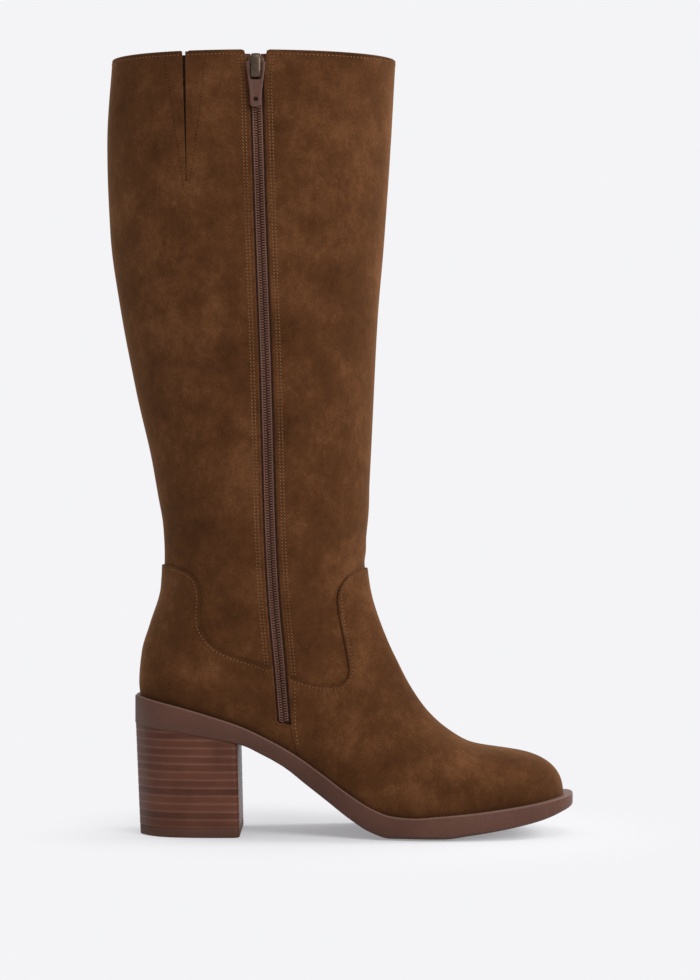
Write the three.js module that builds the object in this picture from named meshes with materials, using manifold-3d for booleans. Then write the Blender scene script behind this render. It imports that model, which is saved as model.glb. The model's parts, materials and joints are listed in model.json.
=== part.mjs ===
// A knee-high suede boot with a stacked block heel and a full-length inside zip, for a left foot.
// Millimetres, +Z up, toe towards +X, inner (medial) side towards -Y.
// The origin is on the floor, under the middle of the heel's tip.

import * as THREE from "three";
import { mergeVertices } from "three/addons/utils/BufferGeometryUtils.js";
import Module from "manifold-3d";

const wasm = await Module();
wasm.setup();

// Sole and heel
const soleLength = 246; // outsole, heel back to toe tip, in plan
const heelHeight = 78.5; // floor to the top of the outsole at the heel's back
const ballThickness = 12.4; // outsole under the ball of the foot
const seatThickness = 16; // outsole over the back of the heel
const toeLift = 11.4; // rise of the outsole's top from the ball to the toe
const toeSpring = 15; // rise of the outsole's underside from the floor to the toe
const weltWidth = 3; // outsole beyond the upper
const crownWidthUnder = 12; // border of the forefoot's underside that curves up
const crownRise = 1.8; // how far it curves up
const cornerUnder = 1.3; // rounding of the outsole's lower edge
const soleTopBevel = 0.8; // rounding of the outsole's upper edge
const tipBack = 29; // heel tip's back behind the origin
const tipFront = 27.8; // heel tip's front ahead of the origin
const heelBackSlope = 2.6; // how far the heel's back leans out on its way up
const heelBreastSlope = 1.6; // how far the heel's front leans back on its way up
const heelSetback = 0.3; // heel's top behind the outsole's edge
const heelCornerRadius = 3; // upright corners of the heel's front
const tipThickness = 5.5; // rubber tip under the heel
const insoleThickness = 3;

// Foot and leg
const ballWidth = 88; // upper across the ball of the foot, over the vamp
const ankleHeight = 160; // floor to the narrowest part of the leg
const ankleDepth = 113.8; // front to back at the ankle
const ankleAlong = 0.2968; // middle of the ankle, share of the outsole's length
const ankleWidth = 75; // side to side at the ankle
const bootHeight = 435; // floor to the collar
const collarDepth = 159.8; // front to back at the collar
const calfWidth = 97; // side to side at the calf
const toeCapLength = 29.4; // rounded end of the toe, along the foot
const toeInward = 3; // toe tip towards the inner side
const wall = 2; // suede and lining together
const overlay = 1.1; // vamp and counter leather
const gap = 0.3; // between pieces that touch
const seatGap = 0.5; // between the outsole and what stands on it
const cutOver = 1; // how far a cut runs past what it cuts

// Zip
const zipOpening = 8.4; // between the suede edges
const zipFlare = 4; // extra width of the opening at the collar
const zipFlareDepth = 22; // how far down the opening is wider
const chainWidth = 6;
const chainThickness = 2;
const tapeWidth = 19;
const tapeThickness = 0.9;
const tapeDrop = 1.5; // tape's end below the collar
const tapeBelow = 2.5; // tape's other end below the opening
const chainEnd = 0.8; // chain's end above the opening's end
const sliderLength = 12.6;
const sliderWidth = 9.8;
const sliderPlate = 1.2;
const sliderRoundness = 0.6; // exponent of the plates' rounded outline
const sliderDrop = 9.2; // collar to the middle of the slider
const neckWidth = 2.6;
const neckLength = 1.8;
const neckInset = 0.6; // neck's end from the plates' upper end
const crownLength = 14;
const crownWidth = 5.2;
const crownOpening = 3; // height under the crown
const crownWall = 1;
const barRadius = 0.6; // cross bar of the pull, under the crown
const barRise = 1.5; // hinge line above the slider's middle
const pullLength = 25.6;
const pullShoulder = 1.1; // pull's top above the hinge line
const pullWindow = 9.3; // window's end below the hinge line
const pullTopWidth = 10.8;
const pullWaistWidth = 7.2;
const pullWaistDrop = 15; // pull's top to its waist
const pullEndWidth = 6;
const pullCorner = 1;
const pullThickness = 1.2;
const pullHoleRadius = 1.3;
const pullClearance = 0.45;

// Elastic gore behind the slit in the collar
const slitLength = 72;
const slitWidth = 1.8;
const slitEndWidth = 0.9;
const goreWidth = 22;
const goreEndWidth = 5.5;
const goreLength = 78;
const goreThickness = 1;

// Facets
const ringPoints = 24; // points round one section of the upper
const turnWeight = 22; // how much finer a section's points are where it turns
const soleSteps = 30; // stations along the outsole
const outlinePoints = 76; // points round the outsole
const featherSteps = 8; // stations in one row of the foot where it meets the outsole
const featherToeSteps = 24; // and round the toe cap
const featherToeEnd = 89; // last angle round the toe cap, in degrees
const heelPoints = 24;
const fineSteps = 180; // steps round half a section before its points are spaced out
const sideSeamSteps = 4;
const heelCornerAngles = [30, 60, 90];
const roundSteps = 20;

const soleBack = -(tipBack + heelBackSlope);
const soleTip = soleBack + soleLength;
const overlayReach = overlay + gap;

// Height of the outsole's top: climb is a share of the heel's height over the ball, lift of the toe's.
const soleTopRows = [
  { along: 0, climb: 1, lift: 0 },
  { along: 0.1, climb: 0.915, lift: 0 },
  { along: 0.18, climb: 0.83, lift: 0 },
  { along: 0.245, climb: 0.747, lift: 0 },
  { along: 0.31, climb: 0.63, lift: 0 },
  { along: 0.37, climb: 0.5, lift: 0 },
  { along: 0.43, climb: 0.342, lift: 0 },
  { along: 0.49, climb: 0.18, lift: 0 },
  { along: 0.54, climb: 0.07, lift: 0 },
  { along: 0.585, climb: 0.012, lift: 0 },
  { along: 0.63, climb: 0, lift: 0 },
  { along: 0.69, climb: 0, lift: 0.085 },
  { along: 0.78, climb: 0, lift: 0.26 },
  { along: 0.87, climb: 0, lift: 0.51 },
  { along: 1, climb: 0, lift: 1 },
];

// Height of the outsole's underside: seat is a share of the heel seat's height, spring of the toe's.
const soleUnderRows = [
  { along: 0, seat: 1, spring: 0 },
  { along: 0.245, seat: 0.822, spring: 0 },
  { along: 0.29, seat: 0.737, spring: 0 },
  { along: 0.34, seat: 0.622, spring: 0 },
  { along: 0.39, seat: 0.465, spring: 0 },
  { along: 0.44, seat: 0.312, spring: 0 },
  { along: 0.49, seat: 0.16, spring: 0 },
  { along: 0.535, seat: 0.052, spring: 0 },
  { along: 0.58, seat: 0, spring: 0 },
  { along: 0.7, seat: 0, spring: 0 },
  { along: 0.76, seat: 0, spring: 0.12 },
  { along: 0.83, seat: 0, spring: 0.29 },
  { along: 0.92, seat: 0, spring: 0.6 },
  { along: 1, seat: 0, spring: 1 },
];

// Level sections of the leg. level is a share of the height from ankle to collar, front and back
// are shares of what the depth gains over the ankle's, and width of what the width gains.
const legRows = [
  { level: 1, front: 0.357, back: 0.643, width: 0.555 },
  { level: 0.83, front: 0.302, back: 0.706, width: 0.86 },
  { level: 0.655, front: 0.23, back: 0.67, width: 1 },
  { level: 0.49, front: 0.149, back: 0.545, width: 0.87 },
  { level: 0.327, front: 0.098, back: 0.359, width: 0.6 },
  { level: 0.164, front: 0.05, back: 0.14, width: 0.27 },
  { level: 0, front: 0, back: 0, width: 0 },
];

// Leaning sections of the foot, fanned out from the front of the ankle. A section runs from the
// front or top of the foot to its back or underside. Along is a share of the outsole's length.
// frontRise is a share of the ankle's height over the outsole below it, backRise of its height
// over the heel seat. inner and outer are half widths, shares of the ball's width. widest places
// the widest level between underside (-1) and top (1); topShape and baseShape are the exponents
// of the superellipses above and below it.
const footRows = [
  { frontAlong: 0.524, frontRise: 0.943, backAlong: 0.062, backRise: 0.784, inner: 0.423, outer: 0.423,
    widest: 0, topShape: 2, baseShape: 2.05 },
  { frontAlong: 0.527, frontRise: 0.9, backAlong: 0.037, backRise: 0.509, inner: 0.412, outer: 0.414,
    widest: -0.04, topShape: 2, baseShape: 2.15 },
  { frontAlong: 0.531, frontRise: 0.854, backAlong: 0.018, backRise: 0.3, inner: 0.398, outer: 0.402,
    widest: -0.08, topShape: 2, baseShape: 2.3 },
  { frontAlong: 0.537, frontRise: 0.809, backAlong: 0.0125, backRise: 0.1, inner: 0.382, outer: 0.388,
    widest: -0.1, topShape: 2, baseShape: 2.4 },
  { frontAlong: 0.546, frontRise: 0.764, backAlong: 0.025, backRise: -0.08, inner: 0.366, outer: 0.374,
    widest: -0.15, topShape: 2, baseShape: 2.5 },
  { frontAlong: 0.558, frontRise: 0.715, backAlong: 0.096, backRise: -0.13, inner: 0.352, outer: 0.366,
    widest: -0.26, topShape: 1.95, baseShape: 2.8 },
  { frontAlong: 0.574, frontRise: 0.657, backAlong: 0.218, backRise: -0.12, inner: 0.325, outer: 0.37,
    widest: -0.4, topShape: 1.9, baseShape: 3.2 },
  { frontAlong: 0.595, frontRise: 0.586, backAlong: 0.332, backRise: -0.124, inner: 0.302, outer: 0.392,
    widest: -0.45, topShape: 1.9, baseShape: 3.4 },
  { frontAlong: 0.622, frontRise: 0.498, backAlong: 0.446, backRise: -0.126, inner: 0.35, outer: 0.445,
    widest: -0.45, topShape: 1.9, baseShape: 3.4 },
  { frontAlong: 0.663, frontRise: 0.393, backAlong: 0.551, backRise: -0.122, inner: 0.425, outer: 0.487,
    widest: -0.43, topShape: 1.95, baseShape: 3.4 },
  { frontAlong: 0.71, frontRise: 0.309, backAlong: 0.649, backRise: -0.116, inner: 0.466, outer: 0.498,
    widest: -0.4, topShape: 2.05, baseShape: 3.4 },
  { frontAlong: 0.771, frontRise: 0.242, backAlong: 0.75, backRise: -0.118, inner: 0.45, outer: 0.464,
    widest: -0.4, topShape: 2.15, baseShape: 3.4 },
  { frontAlong: 0.852, frontRise: 0.202, backAlong: 0.852, backRise: -0.116, inner: 0.4, outer: 0.385,
    widest: -0.4, topShape: 2.2, baseShape: 3.4 },
];
const stepsPerLegRow = 2;
const stepsPerFootRow = 2;
const toeAngles = [20, 38, 54, 68, 79, 86]; // degrees round the toe cap's quarter turn
const toeProfileShape = 2.8; // superellipse exponent of the toe cap, from the side
const toePlanShape = 2.5; // and from above
const toeTipSink = 1.5; // toe tip's middle below the outsole's top
const taperStep = 0.2; // share of a row over which the foot's taper is read for the toe cap

// Zip line on the inner side: along is a share of the outsole's length, height of the boot's.
const zipRows = [
  { height: 1, along: 0.279 },
  { height: 0.78, along: 0.291 },
  { height: 0.6, along: 0.302 },
  { height: 0.385, along: 0.3115 },
  { height: 0.3, along: 0.3195 },
  { height: 0.225, along: 0.331 },
  { height: 0.143, along: 0.342 },
];
const zipSteps = 14;
const slitTopAlong = 0.117; // slit in the collar, share of the outsole's length
const slitEndAlong = 0.124;

// Edge of the vamp from the front of the ankle round to the side seam, seen from the side:
// along is a share of the outsole's length and height a share of the ankle's height.
const vampEdge = [
  { along: 0.56, height: 0.932 },
  { along: 0.525, height: 0.93 },
  { along: 0.488, height: 0.905 },
  { along: 0.466, height: 0.85 },
  { along: 0.466, height: 0.79 },
  { along: 0.477, height: 0.7 },
  { along: 0.487, height: 0.62 },
  { along: 0.489, height: 0.568 },
  { along: 0.474, height: 0.532 },
  { along: 0.44, height: 0.525 },
  { along: 0.405, height: 0.533 },
  { along: 0.365, height: 0.552 },
  { along: 0.33, height: 0.575 },
];
const counterEdge = [
  { along: 0, height: 0.945 },
  { along: 0.065, height: 0.942 },
  { along: 0.108, height: 0.93 },
  { along: 0.14, height: 0.898 },
  { along: 0.151, height: 0.84 },
  { along: 0.15, height: 0.755 },
  { along: 0.162, height: 0.705 },
  { along: 0.19, height: 0.66 },
  { along: 0.24, height: 0.625 },
  { along: 0.29, height: 0.6 },
  { along: 0.33, height: 0.575 },
];
const sideSeam = [
  { along: 0.33, height: 0.575 },
  { along: 0.338, height: 0.5 },
  { along: 0.352, height: 0.415 },
  { along: 0.361, height: 0.343 },
  { along: 0.371, height: 0.285 },
  { along: 0.38, height: 0.2 },
];

// A smooth curve through the rows' values that never overshoots them.
function through(rows, key, value) {
  const n = rows.length;
  const slopes = [];
  for (let i = 0; i + 1 < n; i++) {
    slopes.push((value(rows[i + 1]) - value(rows[i])) / (key(rows[i + 1]) - key(rows[i])));
  }
  const tangents = rows.map((row, i) => {
    if (i === 0) return slopes[0];
    if (i === n - 1) return slopes[n - 2];
    const product = slopes[i - 1] * slopes[i];
    return product <= 0 ? 0 : (2 * product) / (slopes[i - 1] + slopes[i]);
  });
  return (at) => {
    const rising = key(rows[n - 1]) > key(rows[0]);
    let i = 0;
    while (i < n - 2 && (rising ? at > key(rows[i + 1]) : at < key(rows[i + 1]))) i++;
    const span = key(rows[i + 1]) - key(rows[i]);
    const t = Math.min(1, Math.max(0, (at - key(rows[i])) / span));
    const a = value(rows[i]);
    const b = value(rows[i + 1]);
    const curve = a + (b - a) * t * t * (3 - 2 * t);
    return curve + span * (tangents[i] * t * (1 - t) * (1 - t) - tangents[i + 1] * t * t * (1 - t));
  };
}

const along = (x) => (x - soleBack) / soleLength;
const atAlong = (share) => soleBack + share * soleLength;
const climb = through(soleTopRows, (row) => row.along, (row) => row.climb);
const lift = through(soleTopRows, (row) => row.along, (row) => row.lift);
const seat = through(soleUnderRows, (row) => row.along, (row) => row.seat);
const spring = through(soleUnderRows, (row) => row.along, (row) => row.spring);

const soleTop = (x) =>
  ballThickness + climb(along(x)) * (heelHeight - ballThickness) + lift(along(x)) * toeLift;
const soleUnder = (x) =>
  seat(along(x)) * (heelHeight - seatThickness) + spring(along(x)) * toeSpring;

// The sections of the base form in millimetres, collar first.
function sectionRows() {
  const ankleMiddle = atAlong(ankleAlong);
  const gain = collarDepth - ankleDepth;
  const leg = legRows.map((row) => {
    const z = ankleHeight + row.level * (bootHeight - ankleHeight);
    const half = (ankleWidth + row.width * (calfWidth - ankleWidth)) / 2;
    return {
      frontX: ankleMiddle + ankleDepth / 2 + row.front * gain,
      frontZ: z,
      backX: ankleMiddle - ankleDepth / 2 - row.back * gain,
      backZ: z,
      inner: half,
      outer: half,
      widest: 0,
      topShape: 2,
      baseShape: 2,
    };
  });
  const ankleFront = ankleMiddle + ankleDepth / 2;
  const instepRise = ankleHeight - soleTop(ankleFront);
  const heelRise = ankleHeight - heelHeight;
  const foot = footRows.map((row) => ({
    frontX: atAlong(row.frontAlong),
    frontZ: soleTop(atAlong(row.frontAlong)) + row.frontRise * instepRise,
    backX: atAlong(row.backAlong),
    backZ: soleTop(atAlong(row.backAlong)) + row.backRise * heelRise,
    inner: row.inner * ballWidth,
    outer: row.outer * ballWidth,
    widest: row.widest,
    topShape: row.topShape,
    baseShape: row.baseShape,
  }));
  return [...leg, ...foot];
}

const rows = sectionRows();
const columns = Object.fromEntries(
  Object.keys(rows[0]).map((name) => [
    name,
    through(rows.map((row, i) => ({ i, v: row[name] })), (r) => r.i, (r) => r.v),
  ]),
);

// Unit vector square to a column pair's path, pointing away from the body.
function outward(xColumn, zColumn, at, side) {
  const step = 0.01;
  const dx = xColumn(at + step) - xColumn(at - step);
  const dz = zColumn(at + step) - zColumn(at - step);
  const length = Math.hypot(dx, dz);
  return [(-dz / length) * side, (dx / length) * side];
}

// One section of the form, drawn out from the base form by reach.
function sectionAt(at, reach) {
  const [frontNx, frontNz] = outward(columns.frontX, columns.frontZ, at, 1);
  const [backNx, backNz] = outward(columns.backX, columns.backZ, at, -1);
  return {
    front: [columns.frontX(at) + reach * frontNx, columns.frontZ(at) + reach * frontNz],
    back: [columns.backX(at) + reach * backNx, columns.backZ(at) + reach * backNz],
    inner: columns.inner(at) + reach,
    outer: columns.outer(at) + reach,
    shift: 0,
    widest: columns.widest(at),
    topShape: columns.topShape(at),
    baseShape: columns.baseShape(at),
  };
}

// Sections of the rounded toe, shrinking from the last section of the foot to the tip.
function toeSections(reach, angles = toeAngles) {
  const last = sectionAt(rows.length - 1, reach);
  const tipX = columns.frontX(rows.length - 1) + toeCapLength;
  const tipZ = soleTop(tipX) - toeTipSink;
  const before = sectionAt(rows.length - 1 - taperStep, reach);
  const slopeOf = (end) => (last[end][1] - before[end][1]) / (last[end][0] - before[end][0]);
  const run = (last.front[0] + last.back[0] - before.front[0] - before.back[0]) / 2;
  const taperOf = (side) => (last[side] - before[side]) / run;
  const length = toeCapLength + reach;
  return angles.map((degrees) => {
    const t = Math.sin(THREE.MathUtils.degToRad(degrees));
    const profile = (1 - t ** toeProfileShape) ** (1 / toeProfileShape);
    const plan = (1 - t ** toePlanShape) ** (1 / toePlanShape);
    const end = (name) => {
      const z = last[name][1] + slopeOf(name) * length * t;
      return [last[name][0] + length * t, tipZ + (z - tipZ) * profile];
    };
    return {
      ...last,
      front: end("front"),
      back: end("back"),
      inner: (last.inner + taperOf("inner") * length * t) * plan,
      outer: (last.outer + taperOf("outer") * length * t) * plan,
      shift: -toeInward * t * t,
    };
  });
}

// The closed outline of a section, as evenly spaced points: the first at its front or top, the
// middle one at its back or underside, the outer side first.
function ringOf(section, count) {
  const { front, back, widest, topShape, baseShape } = section;
  const middle = [(front[0] + back[0]) / 2, (front[1] + back[1]) / 2];
  const half = [(front[0] - back[0]) / 2, (front[1] - back[1]) / 2];
  const side = (width, sign) => {
    const points = [];
    for (let i = 0; i <= fineSteps; i++) {
      const angle = (Math.PI * i) / fineSteps;
      const top = angle <= Math.PI / 2;
      const power = 2 / (top ? topShape : baseShape);
      const reach = top ? 1 - widest : 1 + widest;
      const v = widest + Math.sign(Math.cos(angle)) * reach * Math.abs(Math.cos(angle)) ** power;
      const w = width * Math.abs(Math.sin(angle)) ** power;
      const [x, z] = [middle[0] + half[0] * v, middle[1] + half[1] * v];
      points.push(new THREE.Vector3(x, section.shift + sign * w, z));
    }
    return evenly(points, count / 2, turnWeight);
  };
  const outerSide = side(section.outer, 1);
  const innerSide = side(section.inner, -1).reverse();
  return [...outerSide.slice(0, -1), ...innerSide.slice(0, -1)];
}

// The same line with steps that are equal, or finer where it turns.
function evenly(points, steps, turnWeight = 0) {
  const lengths = [0];
  for (let i = 1; i < points.length; i++) {
    const step = points[i].clone().sub(points[i - 1]);
    const next = (points[i + 1] ?? points[i]).clone().sub(points[i]);
    const turn = next.lengthSq() > 0 && step.lengthSq() > 0 ? step.angleTo(next) : 0;
    lengths.push(lengths[i - 1] + step.length() + turnWeight * turn);
  }
  const total = lengths[lengths.length - 1];
  const result = [];
  let j = 0;
  for (let i = 0; i <= steps; i++) {
    const wanted = (total * i) / steps;
    while (j < points.length - 2 && lengths[j + 1] < wanted) j++;
    const t = (wanted - lengths[j]) / (lengths[j + 1] - lengths[j]);
    result.push(points[j].clone().lerp(points[j + 1], Math.min(1, t)));
  }
  return result;
}

function formSections(reach) {
  const sections = [];
  for (let i = 0; i < rows.length - 1; i++) {
    const steps = i < legRows.length - 1 ? stepsPerLegRow : stepsPerFootRow;
    for (let j = 0; j < steps; j++) sections.push(sectionAt(i + j / steps, reach));
  }
  sections.push(sectionAt(rows.length - 1, reach));
  return [...sections, ...toeSections(reach)];
}

// A closed solid through rings with the same number of points. Its ends are closed in strips
// between paired points: a ring starts on its own axis of symmetry, or beside it.
function loft(rings, startsOnAxis) {
  const count = rings[0].length;
  const triangles = [];
  const quad = (a, b, c, d) => {
    if (a.distanceToSquared(c) <= b.distanceToSquared(d)) triangles.push(a, b, c, a, c, d);
    else triangles.push(a, b, d, b, c, d);
  };
  for (let k = 0; k + 1 < rings.length; k++) {
    for (let i = 0; i < count; i++) {
      const j = (i + 1) % count;
      quad(rings[k][i], rings[k][j], rings[k + 1][j], rings[k + 1][i]);
    }
  }
  const close = (ring, flip) => {
    const pair = (i) => (startsOnAxis ? (count - i) % count : count - 1 - i);
    const last = startsOnAxis ? count / 2 : count / 2 - 1;
    for (let i = 0; i < last; i++) {
      const corners = [ring[i], ring[i + 1], ring[pair(i + 1)], ring[pair(i)]];
      const distinct = corners.filter((p, n) => corners.indexOf(p) === n);
      if (flip) distinct.reverse();
      triangles.push(...distinct.slice(0, 3));
      if (distinct.length === 4) triangles.push(distinct[0], distinct[2], distinct[3]);
    }
  };
  close(rings[0], true);
  close(rings[rings.length - 1], false);
  const geometry = new THREE.BufferGeometry().setFromPoints(triangles);
  return solidOf(geometry);
}

// A geometry as a solid for cutting and joining, with its faces turned outwards.
function solidOf(geometry) {
  const plain = geometry.clone();
  plain.deleteAttribute("normal");
  plain.deleteAttribute("uv");
  const merged = mergeVertices(plain, 1e-4);
  const build = (triVerts) =>
    new wasm.Manifold(
      new wasm.Mesh({ numProp: 3, vertProperties: merged.attributes.position.array, triVerts }),
    );
  const solid = build(new Uint32Array(merged.index.array));
  return solid.volume() >= 0 ? solid : build(new Uint32Array(merged.index.array).reverse());
}

function geometryOf(solid) {
  const mesh = solid.getMesh();
  const positions = new Float32Array(mesh.numVert * 3);
  for (let i = 0; i < mesh.numVert; i++) {
    positions.set(mesh.vertProperties.subarray(i * mesh.numProp, i * mesh.numProp + 3), i * 3);
  }
  return new THREE.BufferGeometry()
    .setAttribute("position", new THREE.BufferAttribute(positions, 3))
    .setIndex(new THREE.BufferAttribute(new Uint32Array(mesh.triVerts), 1));
}

// The form at a given reach from the base form, carried on above the collar by extra.
function form(reach, extra = 0) {
  const rings = formSections(reach).map((section) => ringOf(section, ringPoints));
  if (extra > 0) rings.unshift(rings[0].map((p) => p.clone().setZ(p.z + extra)));
  return loft(rings, true);
}

// A solid standing on an outline seen from the side, given as [x, z] points, between two y.
function sidePrism(points, yLow, yHigh) {
  const shape = new THREE.Shape(points.map(([x, z]) => new THREE.Vector2(x, z)));
  const geometry = new THREE.ExtrudeGeometry(shape, { depth: yHigh - yLow, bevelEnabled: false });
  geometry.rotateX(Math.PI / 2);
  geometry.translate(0, yHigh, 0);
  return solidOf(geometry);
}

const sideReach = ballWidth; // beyond every piece, to either side
const farFront = soleTip + sideReach;
const farBack = soleBack - sideReach;

// Everything below the outsole's top, raised by rise.
function belowSole(rise) {
  const points = [[farFront, -sideReach]];
  points.push([farBack, -sideReach], [farBack, soleTop(soleBack) + rise]);
  for (let i = 0; i <= soleSteps; i++) {
    const x = atAlong(i / soleSteps);
    points.push([x, soleTop(x) + rise]);
  }
  points.push([farFront, soleTop(soleTip) + rise]);
  return sidePrism(points, -sideReach, sideReach);
}

const zipAlong = through(zipRows, (row) => row.height, (row) => row.along);
const zipX = (z) => atAlong(zipAlong(z / bootHeight));
const zipEnd = zipRows[zipRows.length - 1].height * bootHeight;

// A band along the zip line on the inner side, with half widths from halfAt(z).
function zipBand(zLow, zHigh, halfAt) {
  const left = [];
  const right = [];
  for (let i = 0; i <= zipSteps; i++) {
    const z = zLow + ((zHigh - zLow) * i) / zipSteps;
    left.unshift([zipX(z) - halfAt(z), z]);
    right.push([zipX(z) + halfAt(z), z]);
  }
  return sidePrism([...right, ...left], -sideReach, 0);
}

// The zip's opening, wider at the collar.
function zipOpeningPrism() {
  const half = (z) => {
    const up = Math.max(0, (z - (bootHeight - zipFlareDepth)) / zipFlareDepth);
    return (zipOpening + zipFlare * up * up) / 2;
  };
  return zipBand(zipEnd, bootHeight + cutOver, half);
}

function slitPrism() {
  const topX = atAlong(slitTopAlong);
  const endX = atAlong(slitEndAlong);
  const endZ = bootHeight - slitLength;
  const points = [
    [topX - slitWidth / 2, bootHeight + cutOver],
    [endX - slitEndWidth / 2, endZ],
    [endX + slitEndWidth / 2, endZ],
    [topX + slitWidth / 2, bootHeight + cutOver],
  ];
  return sidePrism(points, -sideReach, 0);
}

// The upper: one hollow wall from the outsole to the collar, open underneath, at the collar, along
// the zip and at the slit.
function upperSolid() {
  return form(0)
    .subtract(form(-wall, wall))
    .subtract(belowSole(seatGap))
    .subtract(zipOpeningPrism())
    .subtract(slitPrism());
}

// A seam's rows as a smooth line of [x, z] points.
function seamLine(seam, steps) {
  const points = seam.map((row) => new THREE.Vector2(atAlong(row.along), row.height * ankleHeight));
  return new THREE.SplineCurve(points).getPoints(steps).map((p) => [p.x, p.y]);
}

const seamSteps = 24;
const edgeOf = (line, shiftX) => line.map(([x, z]) => [x + shiftX, z]);

function vampRegion() {
  const side = edgeOf(seamLine(sideSeam, sideSeamSteps), gap / 2);
  return [
    [farFront, side[0][1] + ankleHeight],
    ...seamLine(vampEdge, seamSteps),
    ...side.slice(1),
    [side[side.length - 1][0], -sideReach],
    [farFront, -sideReach],
  ];
}

function counterRegion() {
  const side = edgeOf(seamLine(sideSeam, sideSeamSteps), -gap / 2);
  const edge = seamLine(counterEdge, seamSteps);
  return [
    [farBack, edge[0][1]],
    ...edge.slice(0, -1),
    ...side,
    [side[side.length - 1][0], -sideReach],
    [farBack, -sideReach],
  ];
}

// A panel of leather over the upper, within a region seen from the side.
function overlaySolid(region) {
  return form(overlayReach)
    .subtract(form(gap, wall))
    .intersect(sidePrism(region, -sideReach, sideReach))
    .subtract(belowSole(seatGap))
    .subtract(zipOpeningPrism());
}

// Points where the form meets the outsole's top: one line along each side, toe to heel.
function featherLine(reach) {
  const sections = [];
  for (let i = legRows.length; i < rows.length - 1; i++) {
    for (let j = 0; j < featherSteps; j++) sections.push(sectionAt(i + j / featherSteps, reach));
  }
  const angles = [];
  for (let i = 0; i < featherToeSteps; i++) angles.push((i * featherToeEnd) / (featherToeSteps - 1));
  sections.push(...toeSections(reach, angles));
  const outerSide = [];
  const innerSide = [];
  for (const section of sections) {
    const ring = ringOf(section, ringPoints * 2);
    const height = (p) => p.z - soleTop(p.x);
    for (let i = 0; i < ring.length; i++) {
      const a = ring[i];
      const b = ring[(i + 1) % ring.length];
      if (height(a) > 0 === height(b) > 0) continue;
      const p = a.clone().lerp(b, height(a) / (height(a) - height(b))).setZ(0);
      (i < ring.length / 2 ? outerSide : innerSide).unshift(p);
    }
  }
  return { outerSide, innerSide };
}

const feather = featherLine(overlayReach);

// Plan outline of the outsole, drawn in from its edge by inset: paired points, the first at the
// toe's tip, down the outer side to the heel's back and up the inner side.
function soleOutline(inset) {
  const grow = weltWidth - inset;
  const grown = (line, sign) =>
    line.map((p, i) => {
      const before = line[Math.max(0, i - 1)];
      const after = line[Math.min(line.length - 1, i + 1)];
      const length = before.distanceTo(after);
      const nx = (sign * (before.y - after.y)) / length;
      const ny = (before.x - after.x) / length;
      return new THREE.Vector3(p.x + grow * -nx, p.y + sign * grow * ny, 0);
    });
  const middleOf = (a, b, x) => new THREE.Vector3(x, (a.y + b.y) / 2, 0);
  const outerSide = grown(feather.outerSide, 1);
  const innerSide = grown(feather.innerSide, -1);
  const last = outerSide.length - 1;
  const toeX = Math.max(outerSide[0].x, innerSide[0].x);
  const heelX = Math.min(outerSide[last].x, innerSide[last].x);
  const toe = middleOf(outerSide[0], innerSide[0], toeX);
  const heel = middleOf(outerSide[last], innerSide[last], heelX);
  const outer = evenly([toe, ...outerSide, heel], outlinePoints / 2);
  const inner = evenly([toe, ...innerSide, heel], outlinePoints / 2).reverse();
  const scale = (soleLength - 2 * inset) / (toeX - heelX);
  return [...outer.slice(0, -1), ...inner.slice(0, -1)].map((p) =>
    p.setX(soleBack + inset + (p.x - heelX) * scale),
  );
}

// The outsole's side in millimetres, from its underside up. Inset is from the outsole's edge. The
// underside's rise is less towards the heel's seat, where only seatRise is left of it.
const soleEdgeRows = [
  { from: "under", inset: crownWidthUnder, rise: 0, seatRise: 0 },
  { from: "under", inset: cornerUnder, rise: crownRise, seatRise: 0 },
  { from: "under", inset: 0, rise: crownRise + cornerUnder, seatRise: 0.5 },
  { from: "top", inset: 0, rise: -soleTopBevel, seatRise: -soleTopBevel },
  { from: "top", inset: soleTopBevel, rise: 0, seatRise: 0 },
];

function outsoleSolid() {
  const rings = soleEdgeRows.map((row) =>
    soleOutline(row.inset).map((p) => {
      const z = row.from === "under" ? soleUnder(p.x) : soleTop(p.x);
      return p.clone().setZ(z + row.rise + (row.seatRise - row.rise) * seat(along(p.x)));
    }),
  );
  return loft(rings, true);
}

// The heel's outline at one level: the outsole's outline behind a flat front with rounded corners.
function heelRing(z) {
  const down = 1 - z / (heelHeight - seatThickness);
  const outline = soleOutline(heelSetback + heelBackSlope * down);
  const front = tipFront - heelBreastSlope * (1 - down);
  const cut = front - heelCornerRadius;
  const first = outline.findIndex((p) => p.x < cut);
  const rest = outline.slice(first).filter((p) => p.x < cut);
  const ends = [outline[first - 1], rest[rest.length - 1], outline[first + rest.length]];
  const start = ends[0].clone().lerp(rest[0], (ends[0].x - cut) / (ends[0].x - rest[0].x));
  const finish = ends[2].clone().lerp(ends[1], (ends[2].x - cut) / (ends[2].x - ends[1].x));
  const corner = (p, sign) =>
    heelCornerAngles.map((degrees) => {
      const angle = THREE.MathUtils.degToRad(degrees);
      const x = cut + heelCornerRadius * Math.sin(angle);
      return new THREE.Vector3(x, p.y - sign * heelCornerRadius * (1 - Math.cos(angle)), 0);
    });
  const line = [start, ...rest, finish];
  const even = evenly(line, heelPoints);
  const ring = [...corner(start, 1).reverse(), ...even, ...corner(finish, -1)];
  return ring.map((p) => p.clone().setZ(z));
}

// Everything above the outsole's underside, lowered by drop.
function aboveUnderside(drop) {
  const points = [[farBack, soleUnder(soleBack) - drop]];
  for (let i = 0; i <= soleSteps; i++) {
    const x = atAlong(i / soleSteps);
    points.push([x, soleUnder(x) - drop]);
  }
  points.push([farFront, soleUnder(soleTip) - drop], [farFront, bootHeight], [farBack, bootHeight]);
  return sidePrism(points, -sideReach, sideReach);
}

function heelSolid() {
  const top = heelHeight - seatThickness;
  return loft([heelRing(tipThickness + gap), heelRing(top)], false).subtract(aboveUnderside(gap));
}

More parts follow.
